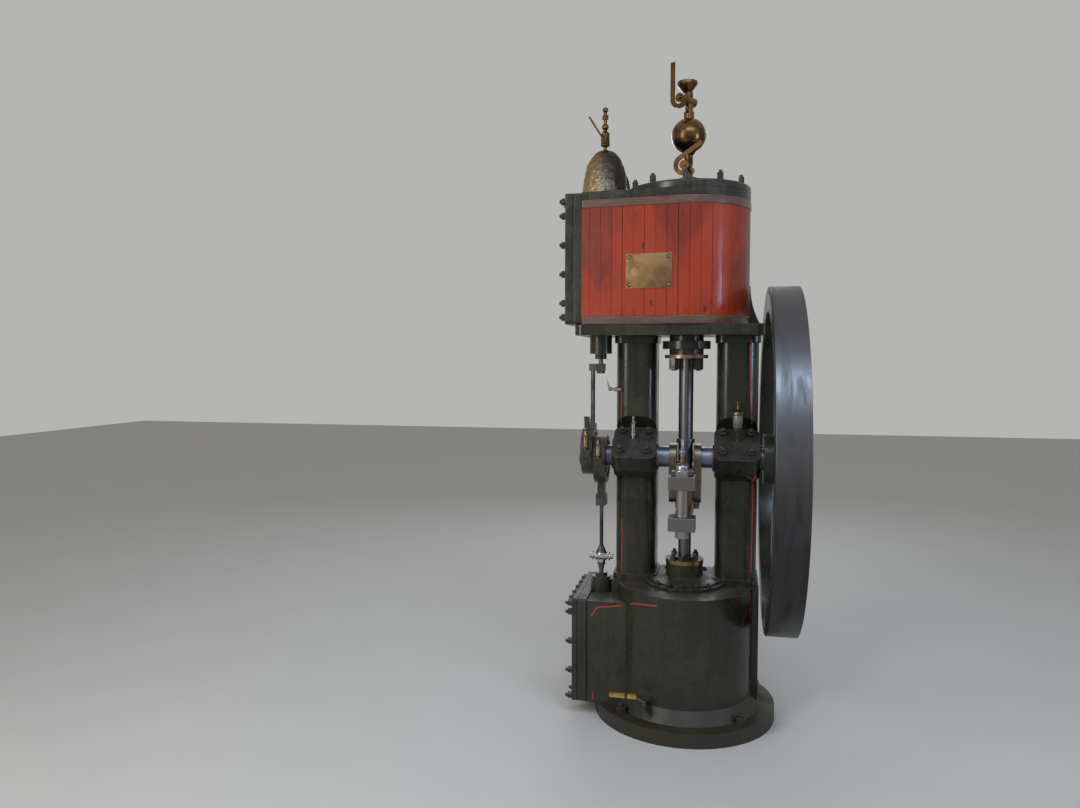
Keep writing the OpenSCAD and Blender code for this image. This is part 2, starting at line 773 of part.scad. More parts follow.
// A flat lever with a hook round its hub, upright before it is turned
module hooked_lever(length) difference() {
    union() {
        cylinder(d = lever_hub_d, h = hub_t);
        translate([0, 0, 1]) linear_extrude(hub_t - 2) {
            difference() {
                circle(r = hook_r);
                circle(r = hook_r - lever_w);
                translate([-hook_r, 0]) square(2 * hook_r);
            }
            translate([lever_hub_d / 4, -lever_w]) square([hook_r - lever_hub_d / 4, lever_w]);
            translate([-hook_r, 0]) square([lever_w, length]);
        }
    }
    translate([0, 0, -1]) cylinder(d = plug_pin_d + 2 * run_gap, h = hub_t + 2);
}

module lower_cock() color(brass) {
    stem_h = globe_z - globe_d / 2 - cock_z - seat_gap;
    translate([0, 0, cock_z]) turned([[35, 0], [35, 12], [19, 12], [19, stem_h]]);
    at_plug(lower_plug_z, lower_turn) cock_plug(84, lower_hub_y);
    difference() {
        translate([0, 0, globe_z - globe_d / 2 - 12]) cylinder(d1 = 38, d2 = 64, h = 18);
        translate([0, 0, globe_z]) sphere(d = globe_d + 2 * seat_gap, $fn = 96);
    }
}

module lubricator_globe() color(brass) translate([0, 0, globe_z]) {
    sphere(d = globe_d, $fn = 96);
    cylinder(d = 46, h = globe_d / 2 + globe_neck);
}

module upper_cock() color(brass) {
    translate([0, 0, neck_top]) cylinder(d = 34, h = 84);
    at_plug(upper_plug_z, upper_turn) cock_plug(72, upper_hub_y);
    translate([-cup_shift, 0, neck_top + 84 - tiny])
        turned([[17, 0], [funnel_d / 2, 34], [funnel_d / 2, 46]]);
}

module lower_cock_lever() color(brass) at_plug(lower_plug_z, lower_turn)
    translate([0, -lower_hub_y, 0]) to_front() rotate(-lower_angle) hooked_lever(lower_lever_l);

module upper_cock_lever() color(brass) at_plug(upper_plug_z, upper_turn)
    translate([0, -upper_hub_y, 0]) to_front() hooked_lever(upper_lever_l);

// Small cock on the inlet, with a straight lever
module inlet_cock() color(brass) at_inlet() {
    translate([0, 0, inlet_pipe_z + inlet_elbow_d / 2 + seat_gap])
        cylinder(d = 16, h = inlet_stem_z - inlet_pipe_z - inlet_elbow_d / 2);
    translate([0, 0, dome_h]) turned([[9, 8], [20, 12], [20, 66], [8, 80]]);
    translate([0, 0, inlet_cock_z]) to_front()
        turned([[12, 0], [12, inlet_hub_y], [6, inlet_hub_y], [6, inlet_hub_y + 16]]);
    translate([0, 0, inlet_stem_z - 64]) sphere(d = 32);
    translate([0, 0, inlet_stem_z - 30]) nut(24, 18);
    translate([0, 0, inlet_stem_z + 12]) sphere(d = 26);
}

module inlet_cock_lever() color(brass) at_inlet()
    translate([0, -inlet_hub_y - seat_gap, inlet_cock_z]) to_front() rotate(inlet_lever_angle) difference() {
        union() {
            cylinder(d = 24, h = 8);
            translate([0, -inlet_lever_w / 2, 1]) cube([inlet_lever_l, inlet_lever_w, 6]);
        }
        translate([0, 0, -1]) cylinder(d = 12 + 2 * run_gap, h = 10);
    }

// Ball valve that drains the barrel
module at_drain() translate([drain_x, drain_y, drain_z]) children();

module drain_valve() color(brass) {
    difference() {
        at_drain() translate([0, 30, 0]) to_front() cylinder(d = 26, h = 76);
        translate([0, 0, -1]) cylinder(d = barrel_d, h = base_h);
        foot_fillet();
    }
    at_drain() {
        translate([0, -drain_reach, 0]) sphere(d = drain_ball_d);
        translate([0, -drain_reach - 12, 0]) to_front() nut(26, 24);
        translate([0, -drain_reach, 0]) cylinder(d = 12, h = drain_hub_z - seat_gap);
    }
}

module drain_lever() color(yellow) at_drain() translate([0, -drain_reach, drain_hub_z]) {
    cylinder(d = 22, h = 5);
    translate([0, 6, 0]) to_front() linear_extrude(12)
        polygon([[0, 0], [-sleeve_gap, sleeve_rise], [-sleeve_gap, sleeve_rise + 6], [0, 5]]);
    translate([-drain_lever_l, -9, sleeve_rise - 4]) cube([drain_lever_l - sleeve_gap + 8, 18, 15]);
}

// Crankshaft, flywheel and the sliding block on the crank pin
module web(x0) difference() {
    translate([0, 0, shaft_z]) side_profile(x0, x0 + web_t) tangent_link(web_shaft_r, web_pin_r, throw);
    if (x0 > 0) translate([x0 - 1, 0, shaft_z - throw / 2])
        along_x() cylinder(d = plug_d + 2 * run_gap, h = web_t + 2);
}

module crankshaft() color(steel) {
    translate([shaft_left, 0, shaft_z]) along_x() cylinder(d = shaft_d, h = -shaft_left - web_out + tiny);
    translate([web_out - tiny, 0, shaft_z]) along_x() cylinder(d = shaft_d, h = shaft_right - web_out + tiny);
    translate([-web_in - tiny, 0, yoke_z]) along_x() cylinder(d = pin_d, h = pin_l + 2 * tiny);
    web(web_in);
    web(-web_out);
}

module oilway_plug() color(steel) translate([web_in + 1, 0, shaft_z - throw / 2])
    along_x() cylinder(d = plug_d, h = web_t - 2);

module flywheel_arm() {
    arm_l = fly_d / 2 - fly_rim - hub_d / 2 + 40;
    hull() for (end = [[0, 96], [arm_l, 66]])
        translate([fly_x + fly_w / 2, 0, end[0]])
            linear_extrude(1) scale([0.5, 1]) circle(d = end[1], $fn = 24);
}

module flywheel() color(steel) translate([0, 0, shaft_z]) difference() {
    union() {
        translate([fly_x, 0, 0]) along_x() difference() {
            cylinder(d = fly_d, h = fly_w, $fn = 144);
            translate([0, 0, -1]) cylinder(d = fly_d - 2 * fly_rim, h = fly_w + 2, $fn = 144);
        }
        translate([fly_x - hub_lip, 0, 0]) along_x() cylinder(d = hub_d, h = fly_w + 2 * hub_lip);
        for (i = [0 : arms - 1])
            rotate([i * 360 / arms + 30, 0, 0]) translate([0, 0, hub_d / 2 - 15]) flywheel_arm();
    }
    along_x() cylinder(d = shaft_d, h = far);
}

module slide_block() color(brass) translate([0, 0, yoke_z]) difference() {
    translate([-beam_t / 2, -die_l / 2, -slot_h / 2 + seat_gap]) cube([beam_t, die_l, slot_h - 2 * seat_gap]);
    along_x() translate([0, 0, -beam_t]) cylinder(d = pin_d + 2 * run_gap, h = 2 * beam_t);
}

// Slotted crosshead: two beams with end blocks, joined by two columns
module crosshead_beams() color(steel) for (z = [bottom_beam_z, top_beam_z]) translate([0, 0, z]) {
    translate([-beam_t / 2, -beam_half - 1, 0]) cube([beam_t, 2 * beam_half + 2, beam_h]);
    for (s = [-1, 1])
        translate([-block_w / 2, s * yoke_col_y - block_d / 2, 0]) cube([block_w, block_d, beam_h]);
}

module crosshead_columns() color(steel) for (s = [-1, 1]) translate([0, s * yoke_col_y, 0]) {
    translate([0, 0, yoke_z - slot_h / 2]) {
        cylinder(d = yoke_col_d - 2, h = slot_h);
        cylinder(d1 = yoke_col_d, d2 = yoke_col_d - 4, h = 24);
        translate([0, 0, slot_h - 14]) cylinder(d1 = yoke_col_d - 4, d2 = yoke_col_d, h = 14);
    }
    translate([0, 0, top_beam_top]) nut(top_nut_across, top_nut_h);
    translate([0, 0, top_beam_top + top_nut_h])
        turned([[36, -tiny], [36, 4], [30, 6], [30, 15], [27.5, 22], [22, 28], [15, dome_nut_h]]);
    translate([0, 0, bottom_beam_z - lower_nut_h]) nut(lower_nut_across, lower_nut_h);
}

module crosshead_oiler() color(brass)
    translate([0, -yoke_col_y, top_beam_top + top_nut_h + dome_nut_h]) {
        turned([
            [14, 0], [14, 12], [11, 12], [11, 40], [16, 40], [16, 52],
            [7, 62], [7, 76], [3.5, 98]
        ]);
    }

module piston_rod() color(steel) {
    translate([0, 0, top_beam_top]) cylinder(d = piston_rod_d, h = plate_top + 90 - top_beam_top);
    translate([0, 0, shaft_z + web_shaft_r + 6]) cylinder(d = collar_d, h = collar_h);
}

module pump_rod() color(steel) {
    translate([0, 0, base_h - rod_reach]) cylinder(d = pump_rod_d, h = bottom_beam_z - base_h + rod_reach);
    translate([0, 0, bottom_beam_z - 26]) cylinder(d = pump_rod_d + 8, h = 26);
}

pump_base();
pump_valve_chest();
pump_chest_cover();
pump_cover();
pump_gland();
pump_branches();
left_standard();
right_standard();
bearing_caps();
bearing_brasses();
entablature();
steam_cylinder();
cylinder_cover();
piston_gland();
lagging();
lagging_bands();
steam_chest();
steam_chest_cover();
inlet_valve();
inlet_lagging();
exhaust_branch();
steam_spindle_gland();
pump_spindle_gland();
eccentrics();
eccentric_rods();
left_oiler();
right_oiler();
lubricator_globe();
lower_cock();
upper_cock();
lower_cock_lever();
upper_cock_lever();
inlet_cock();
inlet_cock_lever();
drain_valve();
drain_lever();
crankshaft();
flywheel();
slide_block();
oilway_plug();
crosshead_beams();
crosshead_columns();
crosshead_oiler();
piston_rod();
pump_rod();
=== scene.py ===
import json
import math
import random
from collections import namedtuple

import bmesh
import bpy
from mathutils import Matrix, Vector, noise
from mathutils.bvhtree import BVHTree


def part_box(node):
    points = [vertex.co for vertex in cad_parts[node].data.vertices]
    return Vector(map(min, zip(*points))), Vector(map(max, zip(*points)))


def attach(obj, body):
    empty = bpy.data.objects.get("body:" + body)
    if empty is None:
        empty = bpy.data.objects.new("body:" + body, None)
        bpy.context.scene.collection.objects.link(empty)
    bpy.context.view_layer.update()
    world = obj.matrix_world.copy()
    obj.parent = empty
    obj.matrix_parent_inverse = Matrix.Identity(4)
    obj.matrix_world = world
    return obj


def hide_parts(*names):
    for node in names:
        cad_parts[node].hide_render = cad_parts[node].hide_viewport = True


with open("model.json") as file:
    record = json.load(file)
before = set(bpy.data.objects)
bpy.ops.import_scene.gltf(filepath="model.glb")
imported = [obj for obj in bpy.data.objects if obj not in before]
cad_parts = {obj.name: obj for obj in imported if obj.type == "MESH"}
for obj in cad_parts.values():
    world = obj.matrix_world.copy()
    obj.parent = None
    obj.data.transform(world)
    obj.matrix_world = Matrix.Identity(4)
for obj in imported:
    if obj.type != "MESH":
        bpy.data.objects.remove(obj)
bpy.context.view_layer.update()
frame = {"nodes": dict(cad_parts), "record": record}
rng = random.Random(7)

# Camera and light

IMAGE_WIDTH = 1080
FOCAL_PX = 815.93
CAMERA_PLACE = (0.16394, -3.69317, 1.59877)
CAMERA_PITCH = 0.057915
CAMERA_YAW = 0.221716
CHEST_HIGH = (0, 0, 1.5)


def add_object(name, data):
    thing = bpy.data.objects.new(name, data)
    bpy.context.scene.collection.objects.link(thing)
    return thing


def make_camera():
    data = bpy.data.cameras.new("camera")
    data.sensor_width = 36
    data.lens = data.sensor_width * FOCAL_PX / IMAGE_WIDTH
    camera = add_object("camera", data)
    camera.location = CAMERA_PLACE
    camera.rotation_euler = (math.pi / 2 - CAMERA_PITCH, 0, CAMERA_YAW)
    bpy.context.scene.camera = camera


def softbox(name, place, target, size, power, colour, diffuse=True, glossy=True):
    data = bpy.data.lights.new(name, "AREA")
    data.shape = "RECTANGLE"
    data.size, data.size_y = size
    data.energy = power
    data.color = colour
    lamp = add_object(name, data)
    lamp.location = place
    lamp.visible_camera = False
    lamp.visible_diffuse = diffuse
    lamp.visible_glossy = glossy
    lamp.rotation_euler = (Vector(target) - Vector(place)).to_track_quat("-Z", "Y").to_euler()


make_camera()
bpy.context.scene.view_settings.view_transform = "Standard"
softbox("key_lamp", (-2.6, -3.4, 2.5), CHEST_HIGH, (1.2, 2.6), 76, (1.0, 0.955, 0.89))
softbox("window_lamp", (3.66, -1.83, 1.85), CHEST_HIGH, (0.34, 1.4), 40, (0.52, 0.70, 1.0),
        diffuse=False)
softbox("fill_lamp", (2.6, -3.0, 2.7), CHEST_HIGH, (1.6, 1.6), 34, (0.84, 0.91, 1.0), glossy=False)
softbox("sky_lamp", (0.7, -2.6, 4.2), (0.4, -0.4, 1.5), (2.6, 0.6), 56, (0.60, 0.79, 1.0))
softbox("back_lamp", (-0.8, 4.2, 3.3), CHEST_HIGH, (2.6, 1.2), 44, (0.86, 0.93, 1.0))


# Materials

class Wire:
    """A socket of a material, with arithmetic that adds Math nodes."""

    def __init__(self, finish, socket):
        self.finish = finish
        self.socket = socket

    def _math(self, operation, first, second=0.0):
        return self.finish.node("Math", {"operation": operation}, {0: first, 1: second})

    def __add__(self, other):
        return self._math("ADD", self, other)

    def __sub__(self, other):
        return self._math("SUBTRACT", self, other)

    def __rsub__(self, other):
        return self._math("SUBTRACT", other, self)

    def __mul__(self, other):
        return self._math("MULTIPLY", self, other)

    def __gt__(self, other):
        return self._math("GREATER_THAN", self, other)

    def __lt__(self, other):
        return self._math("LESS_THAN", self, other)

    def __abs__(self):
        return self._math("ABSOLUTE", self)

    __radd__ = __add__
    __rmul__ = __mul__


class Finish:
    """A node material that ends in one Principled shader."""

    def __init__(self, name, constants):
        self.material = bpy.data.materials.new(name)
        self.material.use_nodes = True
        self.tree = self.material.node_tree
        self.shader = self.tree.nodes["Principled BSDF"]
        for key, value in constants.items():
            self.shader.inputs[key].default_value = value

    def node(self, kind, settings, sockets, output=0):
        made = self.tree.nodes.new("ShaderNode" + kind)
        for key, value in settings.items():
            if key == "stops":
                self._set_stops(made.color_ramp, value)
            else:
                setattr(made, key, value)
        for key, value in sockets.items():
            if isinstance(value, Wire):
                self.tree.links.new(value.socket, made.inputs[key])
            else:
                made.inputs[key].default_value = value
        return Wire(self, made.outputs[output])

    def _set_stops(self, ramp, stops):
        while len(ramp.elements) < len(stops):
            ramp.elements.new(1)
        for element, (place, colour) in zip(ramp.elements, stops):
            element.position = place
            element.color = (*colour, 1)

    def feed(self, **wires):
        for key, wire in wires.items():
            self.tree.links.new(wire.socket, self.shader.inputs[key.replace("_", " ")])


X, Y, Z = range(3)
EVEN = (1, 1, 1)


def place_of(finish):
    return finish.node("TexCoord", {}, {}, "Object")


def along(finish, axis, vector=None):
    """One component of a vector, or of the place on the engine where none is given."""
    return finish.node("SeparateXYZ", {}, {0: vector or place_of(finish)}, axis)


def grain(finish, scale, stretch=EVEN, detail=4.0, distortion=0.0):
    """Noise between 0 and 1 on Object coordinates, finer along the axes with a large stretch."""
    at = finish.node("Mapping", {}, {"Vector": place_of(finish), "Scale": stretch})
    return finish.node("TexNoise", {}, {
        "Vector": at, "Scale": scale, "Detail": detail, "Roughness": 0.6, "Distortion": distortion})


def spread(finish, wire, low, high, to_low=0.0, to_high=1.0):
    return finish.node("MapRange", {"interpolation_type": "SMOOTHSTEP"}, {
        "Value": wire, "From Min": low, "From Max": high, "To Min": to_low, "To Max": to_high})


def cloud(finish, low, high, *look):
    """Noise drawn out so that a low level is 0 and a high one is 1; look is what grain takes."""
    return spread(finish, grain(finish, *look), low, high)


def blend(finish, share, first, second):
    return finish.node("Mix", {"data_type": "RGBA"}, {0: share, 6: first, 7: second}, 2)


def layered(finish, shade, layers):
    """Lays colours over a shade, each where its mask is white."""
    for mask, colour in layers:
        shade = blend(finish, mask, shade, colour)
    return shade


def rgb(r, g, b):
    return (r, g, b, 1)


def bump(finish, height, strength, distance):
    return finish.node("Bump", {}, {"Height": height, "Strength": strength, "Distance": distance})


def upward(finish):
    """1 on faces that look up, 0 on upright ones."""
    normal = finish.node("TexCoord", {}, {}, "Normal")
    return spread(finish, along(finish, Z, normal), 0.55, 0.95)


OLD_OIL = rgb(0.013, 0.011, 0.007)
GRIME = rgb(0.040, 0.032, 0.021)
DUST = rgb(0.090, 0.076, 0.054)
FOOT_BROWN = rgb(0.030, 0.025, 0.016)
SPECK_TAN = rgb(0.10, 0.085, 0.06)
TURNED_IRON = rgb(0.150, 0.150, 0.160)
MARKED_IRON = rgb(0.100, 0.100, 0.108)
STAINED_IRON = rgb(0.060, 0.052, 0.046)
# Settled oil and painted shade on the lower tread of the flywheel
OILED_AND_SHADED_IRON = rgb(0.016, 0.014, 0.011)
WHEEL_GREEN = rgb(0.015, 0.021, 0.015)
WORN_WHEEL_GREEN = rgb(0.030, 0.030, 0.022)
PLAIN_RED = rgb(0.200, 0.026, 0.012)
FADED_RED = rgb(0.205, 0.040, 0.026)
ORANGE_RED = rgb(0.400, 0.042, 0.009)
SMUT_BROWN = rgb(0.085, 0.022, 0.015)
KNOT_BROWN = rgb(0.045, 0.010, 0.006)
CHIP_BROWN = rgb(0.050, 0.014, 0.009)
SCRATCH_TAN = rgb(0.34, 0.15, 0.09)
GROOVE_BLACK = rgb(0.022, 0.006, 0.004)
FOIL_GREY = rgb(0.125, 0.103, 0.080)
FOIL_STAIN = rgb(0.070, 0.050, 0.034)
FOIL_SILVER = rgb(0.215, 0.190, 0.155)
# Painted shade at the foil's upper right
FOIL_SHADE_DARK = rgb(0.056, 0.044, 0.033)
# Painted gold highlight at the foil's left
FOIL_HIGHLIGHT_GOLD = rgb(0.40, 0.27, 0.125)
# Painted shade in the foil's creases
FOIL_CREASE_SHADE = rgb(0.060, 0.042, 0.028)


def casting_paint(name, colour, worn):
    """Dark gloss paint over cast iron, with worn patches, oil runs, dust and brown at the foot."""
    paint = Finish(name, {"IOR": 1.5, "Specular IOR Level": 0.40})
    z = along(paint, Z)
    runs = cloud(paint, 0.46, 0.66, 9, (3.2, 3.2, 0.35), 5, 0.4)
    patches = cloud(paint, 0.42, 0.68, 5.5, EVEN, 6, 0.6)
    specks = cloud(paint, 0.62, 0.74, 95, EVEN, 3)
    grime = cloud(paint, 0.50, 0.66, 22, (1, 1, 0.7), 6, 0.5)
    dust = upward(paint) * cloud(paint, 0.30, 0.60, 14, EVEN, 5)
    low_down = spread(paint, z + (grain(paint, 11, (1, 1, 0.4), 5) - 0.5) * 0.24, 0.02, 0.22, 1, 0)
    dust = dust * (1 - low_down * 0.8)
    shade = blend(paint, patches * 0.6, rgb(*colour), rgb(*worn))
    shade = layered(paint, shade, (
        (runs * 0.55, OLD_OIL), (grime * 0.35, GRIME), (dust * 0.5, DUST),
        (low_down * 0.7, FOOT_BROWN), (specks * 0.35, SPECK_TAN)))
    rough = 0.23 + patches * 0.14 + grime * 0.10 + dust * 0.25 + low_down * 0.22 - runs * 0.06
    skin = bump(paint, grain(paint, 34, EVEN, 3), 0.22, 0.0012)
    paint.feed(Base_Color=shade, Roughness=rough, Normal=skin)
    return paint.material


def machined_steel(name, colour, marks, dull, relief=0.04):
    """Machined steel under an oil film; marks is the stretch of its tool marks."""
    steel = Finish(name, {"Metallic": 1.0})
    film = cloud(steel, 0.45, 0.72, 7, EVEN, 5, 0.8)
    tool = grain(steel, 1, marks, 3)
    shade = blend(steel, tool * 0.5, rgb(*colour), rgb(*(0.72 * tint for tint in colour)))
    shade = blend(steel, film * 0.45, shade, rgb(0.20, 0.125, 0.06))
    rough = 0.20 + dull + tool * 0.10 + film * 0.12
    steel.feed(Base_Color=shade, Roughness=rough, Normal=bump(steel, tool, relief, 0.0003))
    return steel.material


def brass_finish(name, colour, tarnish, base_rough):
    """Brass or bronze, clouded with tarnish."""
    brass = Finish(name, {"Metallic": 1.0})
    dulled = cloud(brass, 0.38, 0.68, 16, EVEN, 6, 0.7)
    fine = grain(brass, 140, EVEN, 2)
    shade = blend(brass, dulled, rgb(*colour), rgb(*tarnish))
    rough = base_rough + dulled * 0.16 + fine * 0.05
    brass.feed(Base_Color=shade, Roughness=rough, Normal=bump(brass, fine, 0.08, 0.0004))
    return brass.material


def flywheel_finish(shaft_height, tread_radius, ring_depth):
    """Turned tread and edge ring, dark paint on the arms, the hub and inside the rim; the tread darkens
    towards its bottom, settled oil and painted shade.
    """
    wheel = Finish("flywheel_bright_and_painted", {"IOR": 1.5})
    y = along(wheel, Y)
    up = along(wheel, Z) - shaft_height
    radius = wheel.node("Math", {"operation": "SQRT"}, {0: y * y + up * up})
    ring_foot = tread_radius - ring_depth
    bright = spread(wheel, radius, ring_foot - 0.002, ring_foot + 0.002)
    tool = grain(wheel, 1, (520, 3, 3), 3)
    stain = cloud(wheel, 0.44, 0.70, 3.2, (5, 1, 1), 6, 0.8)
    # The tread darkens towards the bottom: settled oil, and painted shade where the lower tread faces
    # the floor.
    oil_and_low_shade = spread(wheel, up + (grain(wheel, 4, EVEN, 4) - 0.5) * 0.25, -0.30, 0.16, 1, 0)
    metal = blend(wheel, tool * 0.45, TURNED_IRON, MARKED_IRON)
    metal = layered(wheel, metal, ((stain * 0.6, STAINED_IRON), (oil_and_low_shade * 0.65, OILED_AND_SHADED_IRON)))
    patches = cloud(wheel, 0.42, 0.68, 6, EVEN, 5, 0.5)
    paint = blend(wheel, patches * 0.7, WHEEL_GREEN, WORN_WHEEL_GREEN)
    shade = blend(wheel, bright, paint, metal)
    rough = bright * (0.30 + tool * 0.12 + stain * 0.14) + (1 - bright) * (0.24 + patches * 0.15)
    skin = bump(wheel, bright * tool * 0.4 + (1 - bright) * grain(wheel, 30, EVEN, 3), 0.18, 0.0010)
    wheel.feed(Base_Color=shade, Roughness=rough, Metallic=bright, Normal=skin)
    return wheel.material


def crank_finish(web_inner, web_outer):
    """Bright journals and pin, tinted blue as a painted reflection of window light, brown oily webs
    between.
    """
    steel = Finish("crank_steel", {"Metallic": 1.0})
    across = abs(along(steel, X))
    web = (across > web_inner - 0.001) * (across < web_outer + 0.001)
    film = cloud(steel, 0.40, 0.68, 12, EVEN, 6, 0.9)
    tool = grain(steel, 1, (600, 4, 4), 3)
    # The bright steel's blue tint is a painted reflection of blue window light.
    bright = blend(steel, tool * 0.5, rgb(0.235, 0.245, 0.330), rgb(0.165, 0.168, 0.225))
    bright = blend(steel, film * 0.3, bright, rgb(0.20, 0.14, 0.08))
    oily = blend(steel, film, rgb(0.20, 0.165, 0.13), rgb(0.11, 0.075, 0.045))
    shade = blend(steel, web, bright, oily)
    rough = 0.41 - web * 0.03 + film * 0.12
    skin = bump(steel, tool * (1 - web) + grain(steel, 60, EVEN, 4) * web, 0.14, 0.0006)
    steel.feed(Base_Color=shade, Roughness=rough, Normal=skin)
    return steel.material


def board_finish(board_bottom):
    """Red-orange varnished boards: upright grain, a tone per board, knots and chipped edges."""
    wood = Finish("red_varnished_boards", {
        "IOR": 1.45, "Specular IOR Level": 0.15, "Coat Roughness": 0.23})
    rise = along(wood, Z) - board_bottom
    tone = wood.node("Attribute", {"attribute_name": "board_tone"}, {}, "Fac")
    groove = wood.node("Attribute", {"attribute_name": "groove"}, {}, "Fac")
    fibre = grain(wood, 26, (5, 5, 0.35), 6, 0.9)
    figure = grain(wood, 7, (5, 5, 0.4), 4, 1.8)
    clouds = cloud(wood, 0.40, 0.66, 5, (1.4, 1.4, 0.8), 4, 0.5)
    reds = ((0.24, (0.062, 0.006, 0.004)), (0.50, (0.165, 0.016, 0.008)), (0.80, (0.280, 0.033, 0.012)))
    shade = wood.node("ValToRGB", {"stops": reds}, {"Fac": figure * 0.45 + fibre * 0.55})
    glow = spread(wood, grain(wood, 2.4, (1.3, 1.3, 1), 3, 0.4) - rise * 0.35, 0.30, 0.50)
    smut = cloud(wood, 0.60, 0.72, 21, (1, 1, 0.55), 5, 0.7)
    longer = wood.node("Mapping", {}, {"Vector": place_of(wood), "Scale": (1, 1, 0.55)})
    knots = wood.node("TexVoronoi", {"feature": "F1"}, {"Vector": longer, "Scale": 7.5})
    knot = spread(wood, knots, 0.030, 0.080, 1, 0)
    chips = cloud(wood, 0.56, 0.61, 48, (1.6, 1.6, 0.5), 4, 0.4)
    worn_foot = spread(wood, rise, 0.02, 0.16, 1, 0.25)
    chips = chips * cloud(wood, 0.46, 0.60, 4, EVEN, 2) * worn_foot
    scratch = cloud(wood, 0.72, 0.76, 18, (7, 7, 0.25), 2, 0.2) * worn_foot
    shade = layered(wood, shade, (
        (tone * 0.75, PLAIN_RED), (clouds * 0.30, FADED_RED), (glow * 0.55, ORANGE_RED),
        (smut * 0.40, SMUT_BROWN), (knot * 0.75, KNOT_BROWN), (chips * 0.8, CHIP_BROWN),
        (scratch * 0.7, SCRATCH_TAN), (groove, GROOVE_BLACK)))
    rough = 0.42 + fibre * 0.14 + chips * 0.2 + groove * 0.3
    skin = bump(wood, fibre * 0.5 + figure * 0.5 - chips * 0.5 - knot * 0.2, 0.10, 0.0008)
    coat = spread(wood, clouds + groove * 2, 0.2, 1.6, 0.50, 0.0)
    wood.feed(Base_Color=shade, Roughness=rough, Coat_Weight=coat, Normal=skin)
    return wood.material


def band_finish():
    """Dark varnished bands with streaks that run round the cylinder."""
    wood = Finish("dark_mahogany_band", {
        "IOR": 1.5, "Specular IOR Level": 0.35, "Coat Weight": 0.3, "Coat Roughness": 0.10})
    fibre = grain(wood, 22, (0.6, 0.6, 6), 6, 0.8)
    grime = cloud(wood, 0.40, 0.65, 12, EVEN, 5, 0.5)
    streak = spread(wood, fibre, 0.35, 0.7)
    shade = blend(wood, streak, rgb(0.088, 0.038, 0.027), rgb(0.150, 0.075, 0.054))
    shade = blend(wood, grime * 0.5, shade, rgb(0.070, 0.050, 0.038))
    skin = bump(wood, fibre, 0.12, 0.0006)
    wood.feed(Base_Color=shade, Roughness=0.26 + fibre * 0.14, Normal=skin)
    return wood.material


def foil_finish(dome_x, foot):
    """Crumpled foil: a painted gold highlight at its left, brown-silver low down, painted shade at its
    upper right and in its creases.
    """
    foil = Finish("crumpled_foil", {"Metallic": 1.0})
    x = along(foil, X)
    z = along(foil, Z)
    drift = (grain(foil, 9, EVEN, 3) - 0.5) * 0.10
    # A painted highlight: gold where light falls on the dome's left side.
    left_highlight_gold = spread(foil, x + drift, dome_x - 0.085, dome_x + 0.01, 1, 0)
    # Painted shade over the dome's upper right.
    upper_right_shade = spread(foil, x + (z - foot) * 0.5 + drift, dome_x + 0.04, dome_x + 0.12)
    # Cells whose edges, darkened, are painted shade in the creases; they also feed the bump.
    crease = foil.node("TexVoronoi", {"feature": "DISTANCE_TO_EDGE"}, {
        "Vector": place_of(foil), "Scale": 34.0})
    stain = cloud(foil, 0.42, 0.66, 17, EVEN, 5, 0.8)
    low_down = spread(foil, z - foot, 0.05, 0.15, 1, 0)
    shade = layered(foil, blend(foil, stain, FOIL_GREY, FOIL_STAIN), (
        (low_down * (1 - stain), FOIL_SILVER), (upper_right_shade, FOIL_SHADE_DARK), (left_highlight_gold, FOIL_HIGHLIGHT_GOLD),
        (spread(foil, crease, 0.0, 0.06, 0.6, 0), FOIL_CREASE_SHADE)))
    folds = grain(foil, 26, EVEN, 5, 0.6)
    wrinkles = grain(foil, 95, EVEN, 4, 0.8)
    rough = 0.34 + folds * 0.20 + stain * 0.10 - low_down * 0.10
    skin = bump(foil, folds + crease + wrinkles * (0.45 + low_down * 0.6), 0.75, 0.0036)
    foil.feed(Base_Color=shade, Roughness=rough, Normal=skin)
    return foil.material


def gland_finish(name, rim, metal):
    """Oily dark gland whose rim alone is bare metal; rim is its radius, foot and top."""
    gland = Finish(name, {"IOR": 1.5})
    x, y, z = (along(gland, axis) for axis in (X, Y, Z))
    radius = gland.node("Math", {"operation": "SQRT"}, {0: x * x + y * y})
    film = cloud(gland, 0.42, 0.66, 26, EVEN, 5, 0.6)
    rim_radius, rim_foot, rim_top = rim
    bare = (radius > rim_radius - 0.0025) * (z > rim_foot) * (z < rim_top) * (1 - film * 0.45)
    shade = blend(gland, film, rgb(0.052, 0.045, 0.036), rgb(0.022, 0.018, 0.013))
    shade = blend(gland, bare, shade, rgb(*metal))
    gland.feed(Base_Color=shade, Roughness=0.26 + film * 0.18, Metallic=0.45 + bare * 0.5,
               Normal=bump(gland, film, 0.12, 0.0006))
    return gland.material


def valve_rod_finish(knuckle_low, knuckle_high):
    """Dull oily rods of the valve gear, bright only at the lower knuckle."""
    steel = Finish("valve_rod_steel", {"Metallic": 1.0})
    z = along(steel, Z)
    bright = (z > knuckle_low) * (z < knuckle_high)
    film = cloud(steel, 0.42, 0.66, 22, (1, 1, 0.5), 5, 0.6)
    dull = blend(steel, film, rgb(0.115, 0.115, 0.118), rgb(0.060, 0.050, 0.040))
    shade = blend(steel, bright, dull, rgb(0.50, 0.50, 0.51))
    steel.feed(Base_Color=shade, Roughness=0.36 - bright * 0.16 + film * 0.10)
    return steel.material


def oiler_cup_finish(steel_above):
    """Brass foot, bright steel cup and cross handle."""
    cup = Finish("crosshead_oiler", {"Metallic": 1.0})
    film = cloud(cup, 0.42, 0.66, 40, EVEN, 4, 0.6)
    brass = blend(cup, film, rgb(0.30, 0.19, 0.08), rgb(0.12, 0.08, 0.04))
    shade = blend(cup, along(cup, Z) > steel_above, brass, rgb(0.27, 0.27, 0.30))
    cup.feed(Base_Color=shade, Roughness=0.27 + film * 0.12)
    return cup.material


